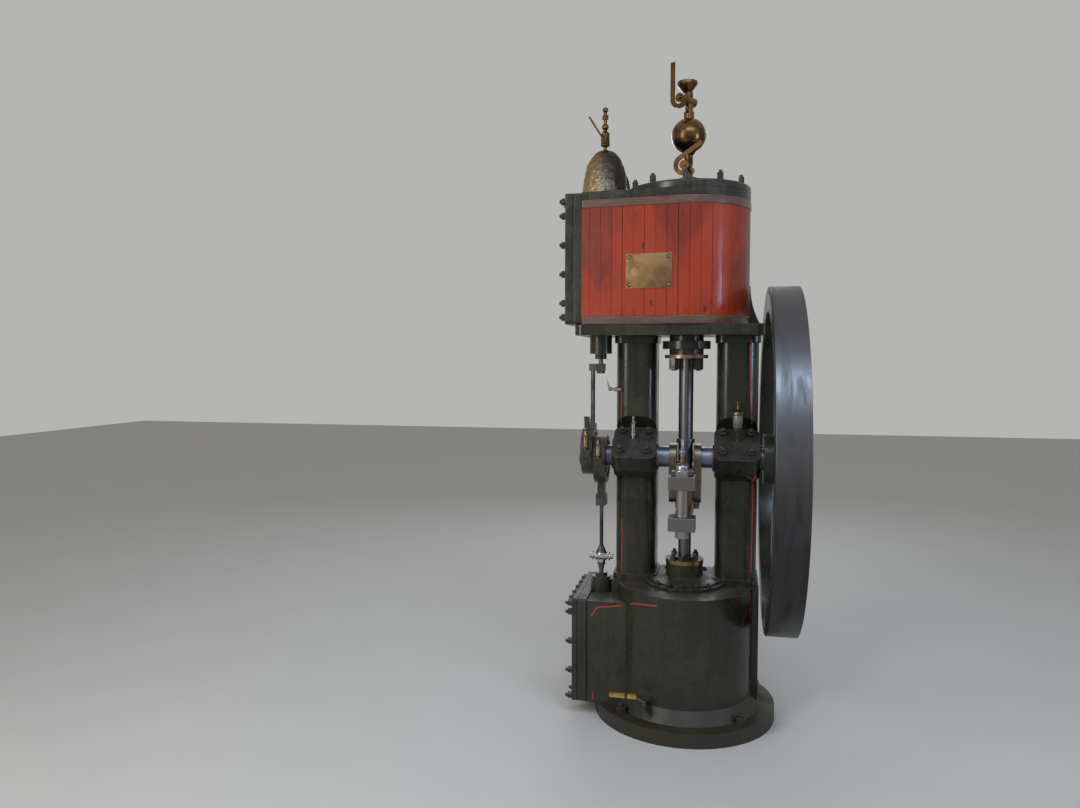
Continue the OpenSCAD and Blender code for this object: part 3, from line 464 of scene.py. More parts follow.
def sleeve_finish(sleeve_end, gap_x):
    """Yellow dipped sleeve with one dark gap; the lever beyond its end is bare steel."""
    plastic = Finish("yellow_dipped_sleeve", {"IOR": 1.5})
    x = along(plastic, X)
    bare = x > sleeve_end
    gap = abs(x - gap_x) < SLEEVE_GAP_HALF
    dirt = cloud(plastic, 0.40, 0.70, 28, EVEN, 5, 0.5)
    shade = blend(plastic, dirt * 0.75, rgb(0.40, 0.235, 0.030), rgb(0.12, 0.075, 0.028))
    shade = blend(plastic, gap, shade, rgb(0.030, 0.024, 0.014))
    shade = blend(plastic, bare, shade, rgb(0.21, 0.20, 0.18))
    plastic.feed(Base_Color=shade, Roughness=0.34 + dirt * 0.25, Metallic=bare,
                 Normal=bump(plastic, dirt, 0.1, 0.0006))
    return plastic.material


def lining_finish():
    """Thin red lining, worn through in places."""
    paint = Finish("red_lining_paint", {"IOR": 1.5})
    wear = cloud(paint, 0.50, 0.70, 60, EVEN, 4)
    shade = blend(paint, wear * 0.7, rgb(0.36, 0.035, 0.020), rgb(0.10, 0.020, 0.012))
    paint.feed(Base_Color=shade, Roughness=0.30 + wear * 0.2)
    return paint.material


def glass_finish(level_low, level_high):
    """Oiler glass, amber below the oil's level, which blurs between two heights."""
    glass = Finish("oiler_glass", {"IOR": 1.45, "Coat Weight": 0.6, "Coat Roughness": 0.03})
    film = cloud(glass, 0.4, 0.7, 40, EVEN, 4)
    level = spread(glass, along(glass, Z), level_low, level_high, 1, 0)
    shade = blend(glass, film, rgb(0.170, 0.165, 0.150), rgb(0.115, 0.108, 0.092))
    shade = blend(glass, level * 0.7, shade, rgb(0.090, 0.062, 0.028))
    glass.feed(Base_Color=shade, Roughness=0.10 + film * 0.08)
    return glass.material


def nut_finish(name, face, side):
    """Nuts with bright faces where they look up, a painted highlight, and dark oil between them."""
    nut = Finish(name, {"IOR": 1.5})
    # Faces that look up get a brighter, more metallic colour: a painted highlight.
    worn = upward(nut)
    film = cloud(nut, 0.42, 0.64, 48, EVEN, 4, 0.5)
    shade = blend(nut, film * 0.5, rgb(*side), rgb(0.020, 0.016, 0.011))
    shade = blend(nut, worn * 0.8, shade, rgb(*face))
    nut.feed(Base_Color=shade, Roughness=0.26 + film * 0.16, Metallic=0.35 + worn * 0.5)
    return nut.material


def floor_finish():
    """Plain pale floor, faintly mottled."""
    floor = Finish("pale_floor", {"IOR": 1.4})
    mottle = grain(floor, 2.2, EVEN, 4)
    shade = blend(floor, mottle, rgb(0.52, 0.52, 0.51), rgb(0.58, 0.58, 0.57))
    floor.feed(Base_Color=shade, Roughness=0.6 + mottle * 0.2)
    return floor.material


def dress_world(tree):
    """Soft warm light all round, with a pale wall where the eye or a mirror looks."""
    light_round = tree.nodes["Background"]
    light_round.inputs["Color"].default_value = (0.86, 0.84, 0.81, 1)
    light_round.inputs["Strength"].default_value = 0.42
    pale_wall = tree.nodes.new("ShaderNodeBackground")
    pale_wall.inputs["Color"].default_value = (0.46, 0.46, 0.45, 1)
    path = tree.nodes.new("ShaderNodeLightPath")
    seen = path.outputs["Is Camera Ray"]
    for kind in ("Is Glossy Ray", "Is Transmission Ray"):
        either = tree.nodes.new("ShaderNodeMath")
        either.operation = "MAXIMUM"
        tree.links.new(seen, either.inputs[0])
        tree.links.new(path.outputs[kind], either.inputs[1])
        seen = either.outputs[0]
    choice = tree.nodes.new("ShaderNodeMixShader")
    tree.links.new(seen, choice.inputs[0])
    tree.links.new(light_round.outputs[0], choice.inputs[1])
    tree.links.new(pale_wall.outputs[0], choice.inputs[2])
    tree.links.new(choice.outputs[0], tree.nodes["World Output"].inputs["Surface"])


# Places from the solids

lagging_low, lagging_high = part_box("lagging")
lag_radius = lagging_high.x
wheel_low, wheel_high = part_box("flywheel")
shaft_height = (wheel_low.z + wheel_high.z) / 2
tread_radius = (wheel_high.z - wheel_low.z) / 2
steam_chest_low, steam_chest_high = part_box("steam_chest")
pump_chest_low, pump_chest_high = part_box("pump_chest_cover")
foil_low, foil_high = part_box("inlet_lagging")
sleeve_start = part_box("drain_lever")[0].x
dome_x = (foil_low.x + foil_high.x) / 2
dome_y = (foil_low.y + foil_high.y) / 2

# Heights between which a finish changes, each gland's after the radius of its rim
LOWER_KNUCKLE = (0.655, 0.698)
PISTON_GLAND_RIM = (0.095, 1.590, 1.609)
PUMP_GLAND_RIM = (0.084, 0.672, 0.692)
# Distances of the crank web's two faces from the middle
CRANK_WEB = (0.038, 0.070)
WHEEL_RING_DEPTH = 0.030
# Rises over the shaft's axis
OILER_FOOT_RISE = 0.036
OIL_LEVEL_RISES = (0.150, 0.165)
# Lengths along the drain lever
SLEEVE_LENGTH = 0.115
SLEEVE_GAP_AT = 0.072
SLEEVE_GAP_HALF = 0.006

green = casting_paint("bottle_green_paint", (0.0195, 0.0200, 0.0125), (0.034, 0.031, 0.021))
chest_green = casting_paint("lower_chest_paint", (0.021, 0.0215, 0.015), (0.040, 0.036, 0.025))
cap_green = casting_paint("bearing_cap_paint", (0.030, 0.032, 0.029), (0.054, 0.053, 0.047))
steam_chest_paint = casting_paint("steam_chest_paint", (0.036, 0.034, 0.025), (0.062, 0.054, 0.040))
strap_paint = casting_paint("strap_paint", (0.036, 0.033, 0.027), (0.058, 0.048, 0.038))
red_lining = lining_finish()
rod_steel = machined_steel("rod_steel", (0.150, 0.146, 0.160), (6, 6, 420), 0.08)
crosshead_steel = machined_steel("crosshead_steel", (0.205, 0.190, 0.188), (8, 60, 60), 0.14)
column_steel = machined_steel("column_steel", (0.36, 0.35, 0.35), (6, 6, 90), 0.06, relief=0.01)
nut_steel = nut_finish("nut_steel", (0.24, 0.23, 0.21), (0.040, 0.036, 0.028))
bright_steel = machined_steel("bright_cap_steel", (0.40, 0.385, 0.37), (60, 60, 60), 0.06)
gear_steel = valve_rod_finish(*LOWER_KNUCKLE)
crank_steel = crank_finish(*CRANK_WEB)
wheel_finish = flywheel_finish(shaft_height, tread_radius, WHEEL_RING_DEPTH)
aged_brass = brass_finish("aged_brass", (0.205, 0.108, 0.042), (0.062, 0.034, 0.017), 0.18)
bright_brass = brass_finish("bright_brass", (0.50, 0.33, 0.14), (0.26, 0.17, 0.08), 0.16)
bronze = brass_finish("dull_bronze", (0.26, 0.175, 0.095), (0.13, 0.09, 0.055), 0.30)
plate_brass = brass_finish("plate_brass", (0.250, 0.150, 0.072), (0.200, 0.118, 0.056), 0.50)
red_boards = board_finish(lagging_low.z)
mahogany = band_finish()
foil_wrap = foil_finish(dome_x, foil_low.z)
piston_gland_steel = gland_finish("piston_gland_steel", PISTON_GLAND_RIM, (0.34, 0.20, 0.13))
pump_gland_brass = gland_finish("pump_gland_brass", PUMP_GLAND_RIM, (0.30, 0.20, 0.09))
crosshead_oiler_finish = oiler_cup_finish(shaft_height + OILER_FOOT_RISE)
yellow_sleeve = sleeve_finish(sleeve_start + SLEEVE_LENGTH, sleeve_start + SLEEVE_GAP_AT)
oiler_glass = glass_finish(*(shaft_height + rise for rise in OIL_LEVEL_RISES))

SLOT_FINISH = {
    "green_paint": green, "bright_steel": rod_steel, "flywheel_iron": wheel_finish,
    "bearing_bronze": bronze, "aged_brass": aged_brass, "red_boards": red_boards,
    "dark_boards": mahogany, "foil_wrap": foil_wrap, "yellow_sleeve": yellow_sleeve,
}
NODE_FINISH = {
    "crankshaft": crank_steel, "oilway_plug": crank_steel, "eccentric_rods": gear_steel,
    "crosshead_beams": crosshead_steel, "crosshead_columns": column_steel,
    "crosshead_oiler": crosshead_oiler_finish, "piston_gland": piston_gland_steel,
    "pump_gland": pump_gland_brass, "pump_spindle_gland": nut_steel, "drain_valve": nut_steel,
    "steam_chest": steam_chest_paint, "pump_valve_chest": chest_green,
    "pump_chest_cover": chest_green, "bearing_caps": cap_green, "eccentrics": strap_paint,
}
EDGE_ROUNDING = {
    "pump_base": 0.005, "pump_valve_chest": 0.005, "pump_chest_cover": 0.004, "pump_cover": 0.003,
    "left_standard": 0.004, "right_standard": 0.004, "bearing_caps": 0.004, "entablature": 0.006,
    "cylinder_cover": 0.003, "steam_cylinder": 0.003, "steam_chest": 0.004,
    "steam_chest_cover": 0.004, "pump_branches": 0.003, "exhaust_branch": 0.003,
    "inlet_valve": 0.003, "eccentrics": 0.003,
    "flywheel": 0.004, "crosshead_beams": 0.003, "crankshaft": 0.002, "lagging_bands": 0.004,
    "eccentric_rods": 0.002, "piston_gland": 0.002, "pump_gland": 0.002, "slide_block": 0.002,
}
SMALL_ROUNDING = 0.0012
MERGE_REACH = 0.00002
COPLANAR = math.radians(0.5)


def dress_nodes():
    """Gives every solid its finish, and softens its edges."""
    for part in frame["record"]["subparts"]:
        name = part["node"]
        node = frame["nodes"][name]
        node.data.materials.clear()
        node.data.materials.append(NODE_FINISH.get(name, SLOT_FINISH[part["material_slot"]]))
        node.data.shade_smooth()
        weld = node.modifiers.new("weld", "WELD")
        weld.merge_threshold = MERGE_REACH
        flat = node.modifiers.new("flat", "DECIMATE")
        flat.decimate_type = "DISSOLVE"
        flat.angle_limit = COPLANAR
        edge = node.modifiers.new("edge", "BEVEL")
        edge.width = EDGE_ROUNDING.get(name, SMALL_ROUNDING)
        edge.segments = 2
        edge.limit_method = "ANGLE"
        edge.angle_limit = math.radians(35)
        edge.harden_normals = True
        even = node.modifiers.new("even", "WEIGHTED_NORMAL")
        even.keep_sharp = True


dress_nodes()


# Makers of new pieces

SAME_POINT = 0.00001
WASHER_THICK = 0.0025
STUD_SUNK = 0.001


def facing(place, direction):
    """A matrix that stands a +Z shape at a place, looking along a direction."""
    turn = Vector(direction).to_track_quat("Z", "Y")
    return Matrix.Translation(place) @ turn.to_matrix().to_4x4()


def soften(bm, edges, offset, segments):
    bmesh.ops.bevel(bm, geom=edges, offset=offset, segments=segments, profile=0.5,
                    affect="EDGES", material=-1)


def turned(profile, steps=32):
    """A lathe-turned shape round +Z, from (radius, height) points."""
    bm = bmesh.new()
    chain = [bm.verts.new((radius, 0, height)) for radius, height in profile]
    edges = [bm.edges.new(pair) for pair in zip(chain, chain[1:])]
    bmesh.ops.spin(bm, geom=chain + edges, cent=(0, 0, 0), axis=(0, 0, 1),
                   angle=2 * math.pi, steps=steps, use_merge=True)
    bmesh.ops.remove_doubles(bm, verts=bm.verts, dist=SAME_POINT)
    bmesh.ops.recalc_face_normals(bm, faces=bm.faces)
    return bm


def hexagon(across, height, chamfer):
    """A nut or bolt head round +Z, standing on zero."""
    bm = bmesh.new()
    radius = across / 2 / math.cos(math.pi / 6)
    bmesh.ops.create_cone(bm, cap_ends=True, segments=6, radius1=radius, radius2=radius,
                          depth=height)
    bmesh.ops.translate(bm, verts=bm.verts, vec=(0, 0, height / 2))
    top = [edge for edge in bm.edges if all(vert.co.z > height * 0.9 for vert in edge.verts)]
    soften(bm, top, chamfer, 1)
    return bm


def slab(size, rounding):
    """A block centred on the origin, with softened edges."""
    bm = bmesh.new()
    bmesh.ops.create_cube(bm, size=1)
    bmesh.ops.scale(bm, vec=size, verts=bm.verts)
    soften(bm, bm.edges[:], rounding, 2)
    return bm


def washer(radius, thick=WASHER_THICK):
    return turned([(0, 0), (radius, 0), (radius, thick), (0, thick)], 24)


def stud_end(radius, rise, top=0.0, shoulder=0.75, tip=0.7, steps=14):
    """The end of a stud above a nut's top: tip and shoulder are shares of its radius and rise."""
    foot = top - STUD_SUNK
    return turned([(0, foot), (radius, foot), (radius, top + rise * shoulder),
                   (radius * tip, top + rise), (0, top + rise)], steps)


def stud_nut(across, height, stud):
    """Washer, nut and stud end as one list of shapes standing on zero."""
    nut = hexagon(across, height, across * 0.09)
    bmesh.ops.translate(nut, verts=nut.verts, vec=(0, 0, WASHER_THICK))
    end = stud_end(across * 0.31, stud, WASHER_THICK + height, 0.8, 0.72, 16)
    return [washer(across * 0.62), nut, end]


def place_shapes(shapes, matrix):
    for bm in shapes:
        bmesh.ops.transform(bm, matrix=matrix, verts=bm.verts)
    return shapes


def finished_piece(name, shapes, finish, body="frame", replaces=(), smooth_angle=32):
    """Joins shapes into one piece that rides on a body."""
    whole = bmesh.new()
    for bm in shapes:
        part = bpy.data.meshes.new("part")
        bm.to_mesh(part)
        whole.from_mesh(part)
        bpy.data.meshes.remove(part)
        bm.free()
    mesh = bpy.data.meshes.new(name)
    whole.to_mesh(mesh)
    whole.free()
    mesh.shade_smooth()
    mesh.set_sharp_from_angle(angle=math.radians(smooth_angle))
    mesh.materials.append(finish)
    piece = add_object(name, mesh)
    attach(piece, body)
    if replaces:
        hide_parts(*replaces)
    return piece


# Lagging boards

BOARD_PITCH = 0.0466
FIRST_JOINT = 0.026
GROOVE_HALF = 0.0011
GROOVE_DEPTH = 0.0024
CUT_REACH = 0.00005
ON_JOINT = 0.0003
SAME_SIDE = 0.02
SKIN_DEPTH = 0.004
TONE_COUNT = 80
# The lagging's flat sides end this far inside the steam chest's
CHEST_STEP = 0.002
lagging_side = steam_chest_high.y - CHEST_STEP

Joint = namedtuple("Joint", "place across out strength is_round")


def board_joints():
    """The joints between the boards, each with its plan point and the ways across and out."""
    joints = []
    bend = (BOARD_PITCH - FIRST_JOINT) / lag_radius
    count = round((math.pi - 2 * bend) * lag_radius / BOARD_PITCH)
    for step in range(count + 1):
        angle = -math.pi / 2 + bend + (math.pi - 2 * bend) * step / count
        out = Vector((math.cos(angle), math.sin(angle), 0))
        across = Vector((-out.y, out.x, 0))
        strength = rng.choice((0.15, 0.25, 0.35, 0.6))
        joints.append(Joint(Vector((0, 0, 0)), across, out, strength, True))
    for step in range(int((-lagging_low.x - FIRST_JOINT) / BOARD_PITCH) + 1):
        place = Vector((-FIRST_JOINT - step * BOARD_PITCH, 0, 0))
        for side in (-1, 1):
            strength = 1.0 if step % 5 == 0 else rng.choice((0.2, 0.3, 0.45))
            joints.append(Joint(place, Vector((1, 0, 0)), Vector((0, side, 0)), strength, False))
    return joints


def cut_joint(bm, joint):
    """Cuts the board faces on one side along the two edges and the middle of a joint."""
    for shift in (-GROOVE_HALF, 0, GROOVE_HALF):
        chosen = []
        for face in bm.faces:
            middle = face.calc_center_median()
            if middle.dot(joint.out) > SAME_SIDE and (joint.is_round or middle.x < 0):
                chosen.append(face)
        geom = list({part for face in chosen for part in (*face.verts, *face.edges)}) + chosen
        bmesh.ops.bisect_plane(bm, geom=geom, dist=CUT_REACH,
                               plane_co=joint.place + joint.across * shift, plane_no=joint.across)


def sink_joint(bm, joint):
    """Pushes the middle line of a joint inwards, which makes its groove."""
    depth = GROOVE_DEPTH * (0.25 + 0.75 * joint.strength)
    for vert in bm.verts:
        plan = Vector((vert.co.x, vert.co.y, 0))
        if abs((plan - joint.place).dot(joint.across)) > ON_JOINT or plan.dot(joint.out) < SAME_SIDE:
            continue
        if joint.is_round and plan.length > lag_radius - SKIN_DEPTH:
            vert.co -= joint.out * depth
        elif not joint.is_round and abs(plan.y) > flat_outer(plan.x) - SKIN_DEPTH:
            vert.co.y -= joint.out.y * depth


def mark_boards(bm, joints):
    """Gives each board face its tone and each groove face its darkness."""
    tone_layer = bm.faces.layers.float.new("board_tone")
    groove_layer = bm.faces.layers.float.new("groove")
    tones = [rng.uniform(0.0, 0.85) ** 1.4 for _ in range(TONE_COUNT)]
    for face in bm.faces:
        centre = face.calc_center_median()
        plan = Vector((centre.x, centre.y, 0))
        if centre.x >= 0:
            along_skin = math.atan2(centre.y, centre.x) * lag_radius
        else:
            along_skin = (centre.x - lag_radius * math.pi / 2) * (1 if centre.y < 0 else -1)
        board = int((along_skin + BOARD_PITCH - FIRST_JOINT) / BOARD_PITCH + TONE_COUNT / 2)
        face[tone_layer] = tones[board % TONE_COUNT]
        near = [joint.strength for joint in joints if plan.dot(joint.out) > SAME_SIDE
                and abs((plan - joint.place).dot(joint.across)) < GROOVE_HALF]
        is_groove = near and abs(face.normal.z) < 0.5
        face[groove_layer] = 0.06 + 0.90 * max(near) if is_groove else 0.0


def make_boards():
    bm = bmesh.new()
    bm.from_mesh(frame["nodes"]["lagging"].data)
    bmesh.ops.remove_doubles(bm, verts=bm.verts, dist=MERGE_REACH)
    bmesh.ops.dissolve_limit(bm, angle_limit=COPLANAR, verts=bm.verts, edges=bm.edges)
    joints = board_joints()
    for joint in joints:
        cut_joint(bm, joint)
    for joint in joints:
        sink_joint(bm, joint)
    mark_boards(bm, joints)
    piece = finished_piece("lagging_boards", [bm], red_boards, replaces=("lagging",),
                           smooth_angle=25)
    marks = piece.data.attributes["groove"].data
    for face in piece.data.polygons:
        if marks[face.index].value > 0 or face.center.x < 0.001:
            face.use_smooth = False


def flat_outer(x):
    """Half depth of the lagging's flat front and back at a place left of the axis."""
    share = min(max(-x / -lagging_low.x, 0), 1)
    return lag_radius + (lagging_side - lag_radius) * share


make_boards()


# Plate on the lagging

PLATE_SIZE = (0.194, 0.145)
PLATE_THICK = 0.0025
PLATE_RIM = 0.0055
PANEL_PROUD = 0.0009
PLATE_X = -0.147
PLATE_Z = 1.956
SCREW_INSET = 0.015
SCREW_HEAD = [(0, 0), (0.0058, 0), (0.0054, 0.0018), (0.0038, 0.0032), (0, 0.0036)]
# A dark disc under each screw head, standing for the shade round it
SCREW_SHADE_DISC = [(0, 0), (0.0092, 0), (0.0088, 0.0006), (0, 0.0006)]


def make_plate():
    """A blank plate with a raised panel, screwed on at its corners; a dark disc under each screw head
    is painted shade.
    """
    width, height = PLATE_SIZE
    slope = math.atan2(lag_radius - lagging_side, -lagging_low.x)
    surface = Vector((PLATE_X, -flat_outer(PLATE_X) - PLATE_THICK / 2, PLATE_Z))
    stand = Matrix.Translation(surface) @ Matrix.Rotation(-slope, 4, "Z")
    plate = slab((width, PLATE_THICK, height), 0.0007)
    panel = slab((width - 2 * PLATE_RIM, PLATE_THICK, height - 2 * PLATE_RIM), 0.0004)
    place_shapes([plate], stand)
    place_shapes([panel], stand @ Matrix.Translation((0, -PANEL_PROUD, 0)))
    finished_piece("blank_brass_plate", [plate, panel], plate_brass)
    spots = [Vector((x * (width / 2 - SCREW_INSET), -PLATE_THICK / 2 - PANEL_PROUD,
                     z * (height / 2 - SCREW_INSET))) for x in (-1, 1) for z in (-1, 1)]
    # Screw heads, and the dark discs under them that stand for painted shade.
    for name, profile, finish in (("plate_screws", SCREW_HEAD, bright_brass),
                                  ("plate_screw_shade_discs", SCREW_SHADE_DISC, nut_steel)):
        shapes = []
        for spot in spots:
            shapes += place_shapes([turned(profile, 20)], stand @ facing(spot, (0, -1, 0)))
        finished_piece(name, shapes, finish)


make_plate()


# Foil-wrapped inlet

DOME_FULLNESS = 0.83
DOME_LIFT = 0.002
DOME_DROP = 0.004
CRUMPLE_DEPTH = 0.0075
CRUMPLE_SINK = 0.003


def make_foil():
    """A full dome, crumpled by noise and cell patterns of three sizes."""
    radius = (foil_high.x - foil_low.x) / 2
    height = foil_high.z - foil_low.z
    foot = foil_low.z + DOME_LIFT
    rise = height - DOME_LIFT - DOME_DROP
    steps = 48
    profile = [(radius * 0.2, foot)]
    for step in range(steps):
        turn = math.pi / 2 * step / steps
        profile.append((radius * math.cos(turn) ** DOME_FULLNESS,
                        foot + rise * math.sin(turn) ** DOME_FULLNESS))
    profile.append((0, foil_low.z + height - DOME_DROP))
    bm = turned(profile, 120)
    bmesh.ops.translate(bm, verts=bm.verts, vec=(dome_x, dome_y, 0))
    for vert in bm.verts:
        out = Vector((vert.co.x - dome_x, vert.co.y - dome_y, (vert.co.z - foil_low.z) * 0.5))
        if out.length < 0.01:
            continue
        folds = noise.noise(vert.co * 24) * 0.5 + noise.noise(vert.co * 55.2) * 0.3
        cells = noise.voronoi(vert.co * 42)[0][0] * 0.5
        crumple = folds + cells - 0.45
        vert.co += out.normalized() * (crumple * CRUMPLE_DEPTH - CRUMPLE_SINK)
    finished_piece("foil_jacket", [bm], foil_wrap, replaces=("inlet_lagging",),
                   smooth_angle=18)


make_foil()


# Nuts and studs

STEAM_FACE_X = -0.506
STEAM_STUD_RISES = (-0.247, -0.186, -0.062, 0.062, 0.186, 0.247)
PUMP_FACE_X = pump_chest_low.x
PUMP_STUD_HEIGHTS = (0.463, 0.330, 0.198, 0.082)
COVER_EDGE = 0.026
BEARING_X = 0.223
BEARING_SLOPE = math.radians(45)
CAP_STUD_X = 0.0588
CAP_STUD_SEATS = ((-0.0527, 0.093), (0.0727, 0.073))
CAP_NUT_TOP = 0.027
COVER_NUT_TOP = 0.034
CAP_WASHER = (0.024, 0.003)
COVER_WASHER_RADIUS = 0.018
# Width across the flats, height and stud end of each size of nut
STEAM_CHEST_NUT = (0.026, 0.018, 0.008)
PUMP_CHEST_NUT = (0.027, 0.019, 0.011)
FOOT_NUT = (0.040, 0.026, 0.016)
# Radius and rise of each size of stud end
CAP_STUD = (0.0105, 0.013)
PISTON_GLAND_STUD = (0.0110, 0.005)
PUMP_GLAND_STUD = (0.0075, 0.012)
CYLINDER_COVER_STUD = (0.0078, 0.009)
PUMP_COVER_STUD = (0.0068, 0.008)
# Radius of each ring of studs, and the height of what they stand on
PISTON_GLAND_RING = (0.074, 1.542)
PUMP_GLAND_RING = (0.067, 0.711)
CYLINDER_COVER_RING = (0.236, 2.327)
PUMP_COVER_RING = (0.1705, 0.611)
FOOT_RING = (0.355, 0.062)
# Degrees from the x axis at which the studs of a ring stand
FOUR_ROUND = range(45, 360, 90)
TEN_ROUND = range(-90, 270, 36)
BETWEEN_STANDARDS = (*range(-130, -49, 20), *range(60, 121, 20))
DOWNWARDS = Matrix.Rotation(math.pi, 4, "X")


def nuts_on_left_face(name, face_x, spots, nut, finish):
    """Nuts at places given as y and z, on a face that looks to the left."""
    shapes = []
    for y, z in spots:
        shapes += place_shapes(stud_nut(*nut), facing((face_x, y, z), (-1, 0, 0)))
    finished_piece(name, shapes, finish)


def steam_chest_nuts():
    y_edge = steam_chest_high.y - COVER_EDGE
    middle = (steam_chest_low.z + steam_chest_high.z) / 2
    spots = [(side * y_edge, middle + rise) for side in (-1, 1) for rise in STEAM_STUD_RISES]
    spots += [(y_edge * share, middle + rise) for share in (-0.5, 0, 0.5)
              for rise in (STEAM_STUD_RISES[0], STEAM_STUD_RISES[-1])]
    nuts_on_left_face("steam_chest_nuts", STEAM_FACE_X, spots, STEAM_CHEST_NUT, green)


def pump_chest_nuts():
    low_y, high_y = pump_chest_low.y + COVER_EDGE, pump_chest_high.y - COVER_EDGE
    top_row = pump_chest_high.z - COVER_EDGE
    bottom_row = PUMP_STUD_HEIGHTS[-1]
    spots = [(y, z) for y in (low_y, high_y) for z in PUMP_STUD_HEIGHTS]
    spots += [(low_y + (high_y - low_y) * step / 5, top_row) for step in range(6)]
    spots += [(low_y + (high_y - low_y) * step / 5, bottom_row) for step in range(1, 5)]
    nuts_on_left_face("pump_chest_nuts", PUMP_FACE_X, spots, PUMP_CHEST_NUT, nut_steel)


def ring_places(ring, degrees):
    """Matrices round the upright axis, at a ring's radius and height."""
    radius, height = ring
    for turn in degrees:
        angle = math.radians(turn)
        yield Matrix.Translation((radius * math.cos(angle), radius * math.sin(angle), height))


def on_bearing(side):
    """The sloping frame of a bearing cap."""
    at_bearing = Matrix.Translation((side * BEARING_X, 0, shaft_height))
    return at_bearing @ Matrix.Rotation(BEARING_SLOPE, 4, "X")


def stud_trims():
    """Washers and stud ends at the nuts of the bearing caps, and stud ends at the two glands."""
    shapes = []
    nut_top = Matrix.Translation((0, 0, CAP_NUT_TOP))
    for side in (-1, 1):
        for across in (-CAP_STUD_X, CAP_STUD_X):
            for up_slope, foot in CAP_STUD_SEATS:
                at = on_bearing(side) @ Matrix.Translation((across, up_slope, foot))
                shapes += place_shapes([washer(*CAP_WASHER)], at)
                shapes += place_shapes([stud_end(*CAP_STUD)], at @ nut_top)
    for at in ring_places(PUMP_GLAND_RING, FOUR_ROUND):
        shapes += place_shapes([stud_end(*PUMP_GLAND_STUD)], at)
    for at in ring_places(PISTON_GLAND_RING, FOUR_ROUND):
        shapes += place_shapes([stud_end(*PISTON_GLAND_STUD)], at @ DOWNWARDS)
    finished_piece("gland_and_cap_studs", shapes, nut_steel)


def cover_stud_ends():
    """Washers under the cylinder cover's nuts, and the stud ends above them."""
    shapes = []
    nut_top = Matrix.Translation((0, 0, COVER_NUT_TOP))
    for at in ring_places(CYLINDER_COVER_RING, TEN_ROUND):
        shapes += place_shapes([washer(COVER_WASHER_RADIUS)], at)
        shapes += place_shapes([stud_end(*CYLINDER_COVER_STUD)], at @ nut_top)
    finished_piece("cover_stud_ends", shapes, green)


def pump_cover_studs():
    """Studs on the front and back of the pump cover, between the standards."""
    shapes = []
    for at in ring_places(PUMP_COVER_RING, BETWEEN_STANDARDS):
        shapes += place_shapes([stud_end(*PUMP_COVER_STUD)], at)
    finished_piece("pump_cover_studs", shapes, nut_steel)


def holding_down_nuts():
    """Big nuts on the spot faces of the foot."""
    shapes = []
    for at in ring_places(FOOT_RING, FOUR_ROUND):
        shapes += place_shapes(stud_nut(*FOOT_NUT), at)
    finished_piece("holding_down_nuts", shapes, green)


steam_chest_nuts()
pump_chest_nuts()
stud_trims()
cover_stud_ends()
pump_cover_studs()
holding_down_nuts()


# Oilers on the bearing caps and the eccentric straps

RIGHT_OILER_PLACE = (0.225, -0.0485)
LEFT_OILER_PLACE = (-0.231, -0.034)
RIB_FEET = (0.112, 0.120, 0.128, 0.136, 0.144)
STRAP_OILER_PLACES = ((-0.378, -0.121, 1.147), (-0.434, -0.121, 1.183))


def over_shaft(spot):
    """A place over the shaft's axis, from which the bearing oilers' heights count."""
    return Matrix.Translation((*spot, shaft_height))


def right_oiler():
    """A glass cup on a dark neck, under a bronze lid."""
    neck = [(0, 0.075), (0.009, 0.075), (0.009, 0.102), (0.013, 0.105), (0.013, 0.112),
            (0.007, 0.114), (0.007, 0.124), (0.0190, 0.128), (0.0190, 0.1405), (0, 0.1405)]
    glass = [(0, 0.140), (0.0205, 0.140), (0.0212, 0.144), (0.0212, 0.191), (0.0205, 0.1955),
             (0, 0.1955)]
    lid = [(0, 0.195), (0.0235, 0.195), (0.0255, 0.197), (0.0255, 0.205), (0.0240, 0.208),
           (0.0180, 0.210), (0.0130, 0.214), (0.0075, 0.219), (0.0055, 0.220), (0.0045, 0.224),
           (0.0045, 0.250), (0.0055, 0.252), (0.0055, 0.257), (0, 0.259)]
    at = over_shaft(RIGHT_OILER_PLACE)
    finished_piece("right_oiler_body", place_shapes([turned(neck)], at), nut_steel,
                   replaces=("right_oiler",))
    finished_piece("right_oiler_glass", place_shapes([turned(glass, 40)], at), oiler_glass)
    finished_piece("right_oiler_lid", place_shapes([turned(lid)], at), bronze)


def left_oiler():
    """A ribbed steel cup with a thin neck and a slanting thumb lever."""
    foot = [(0, 0.078), (0.008, 0.078), (0.008, 0.094), (0.0130, 0.096), (0.0130, 0.108),
            (0.0092, 0.110)]
    ribs = [point for low in RIB_FEET for point in (
        (0.0092, low), (0.0114, low + 0.0015), (0.0114, low + 0.0055), (0.0092, low + 0.0070))]
    neck = [(0.0052, 0.156), (0.0048, 0.160), (0.0066, 0.163), (0.0066, 0.168), (0.0048, 0.170),
            (0.0048, 0.182), (0.0062, 0.184), (0, 0.187)]
    lever = slab((0.020, 0.006, 0.004), 0.001)
    slant = Matrix.Rotation(math.radians(35), 4, "Y")
    place_shapes([lever], Matrix.Translation((0.004, 0, 0.158)) @ slant)
    shapes = place_shapes([turned(foot + ribs + neck), lever], over_shaft(LEFT_OILER_PLACE))
    finished_piece("left_oiler_cup", shapes, bright_steel, replaces=("left_oiler",))


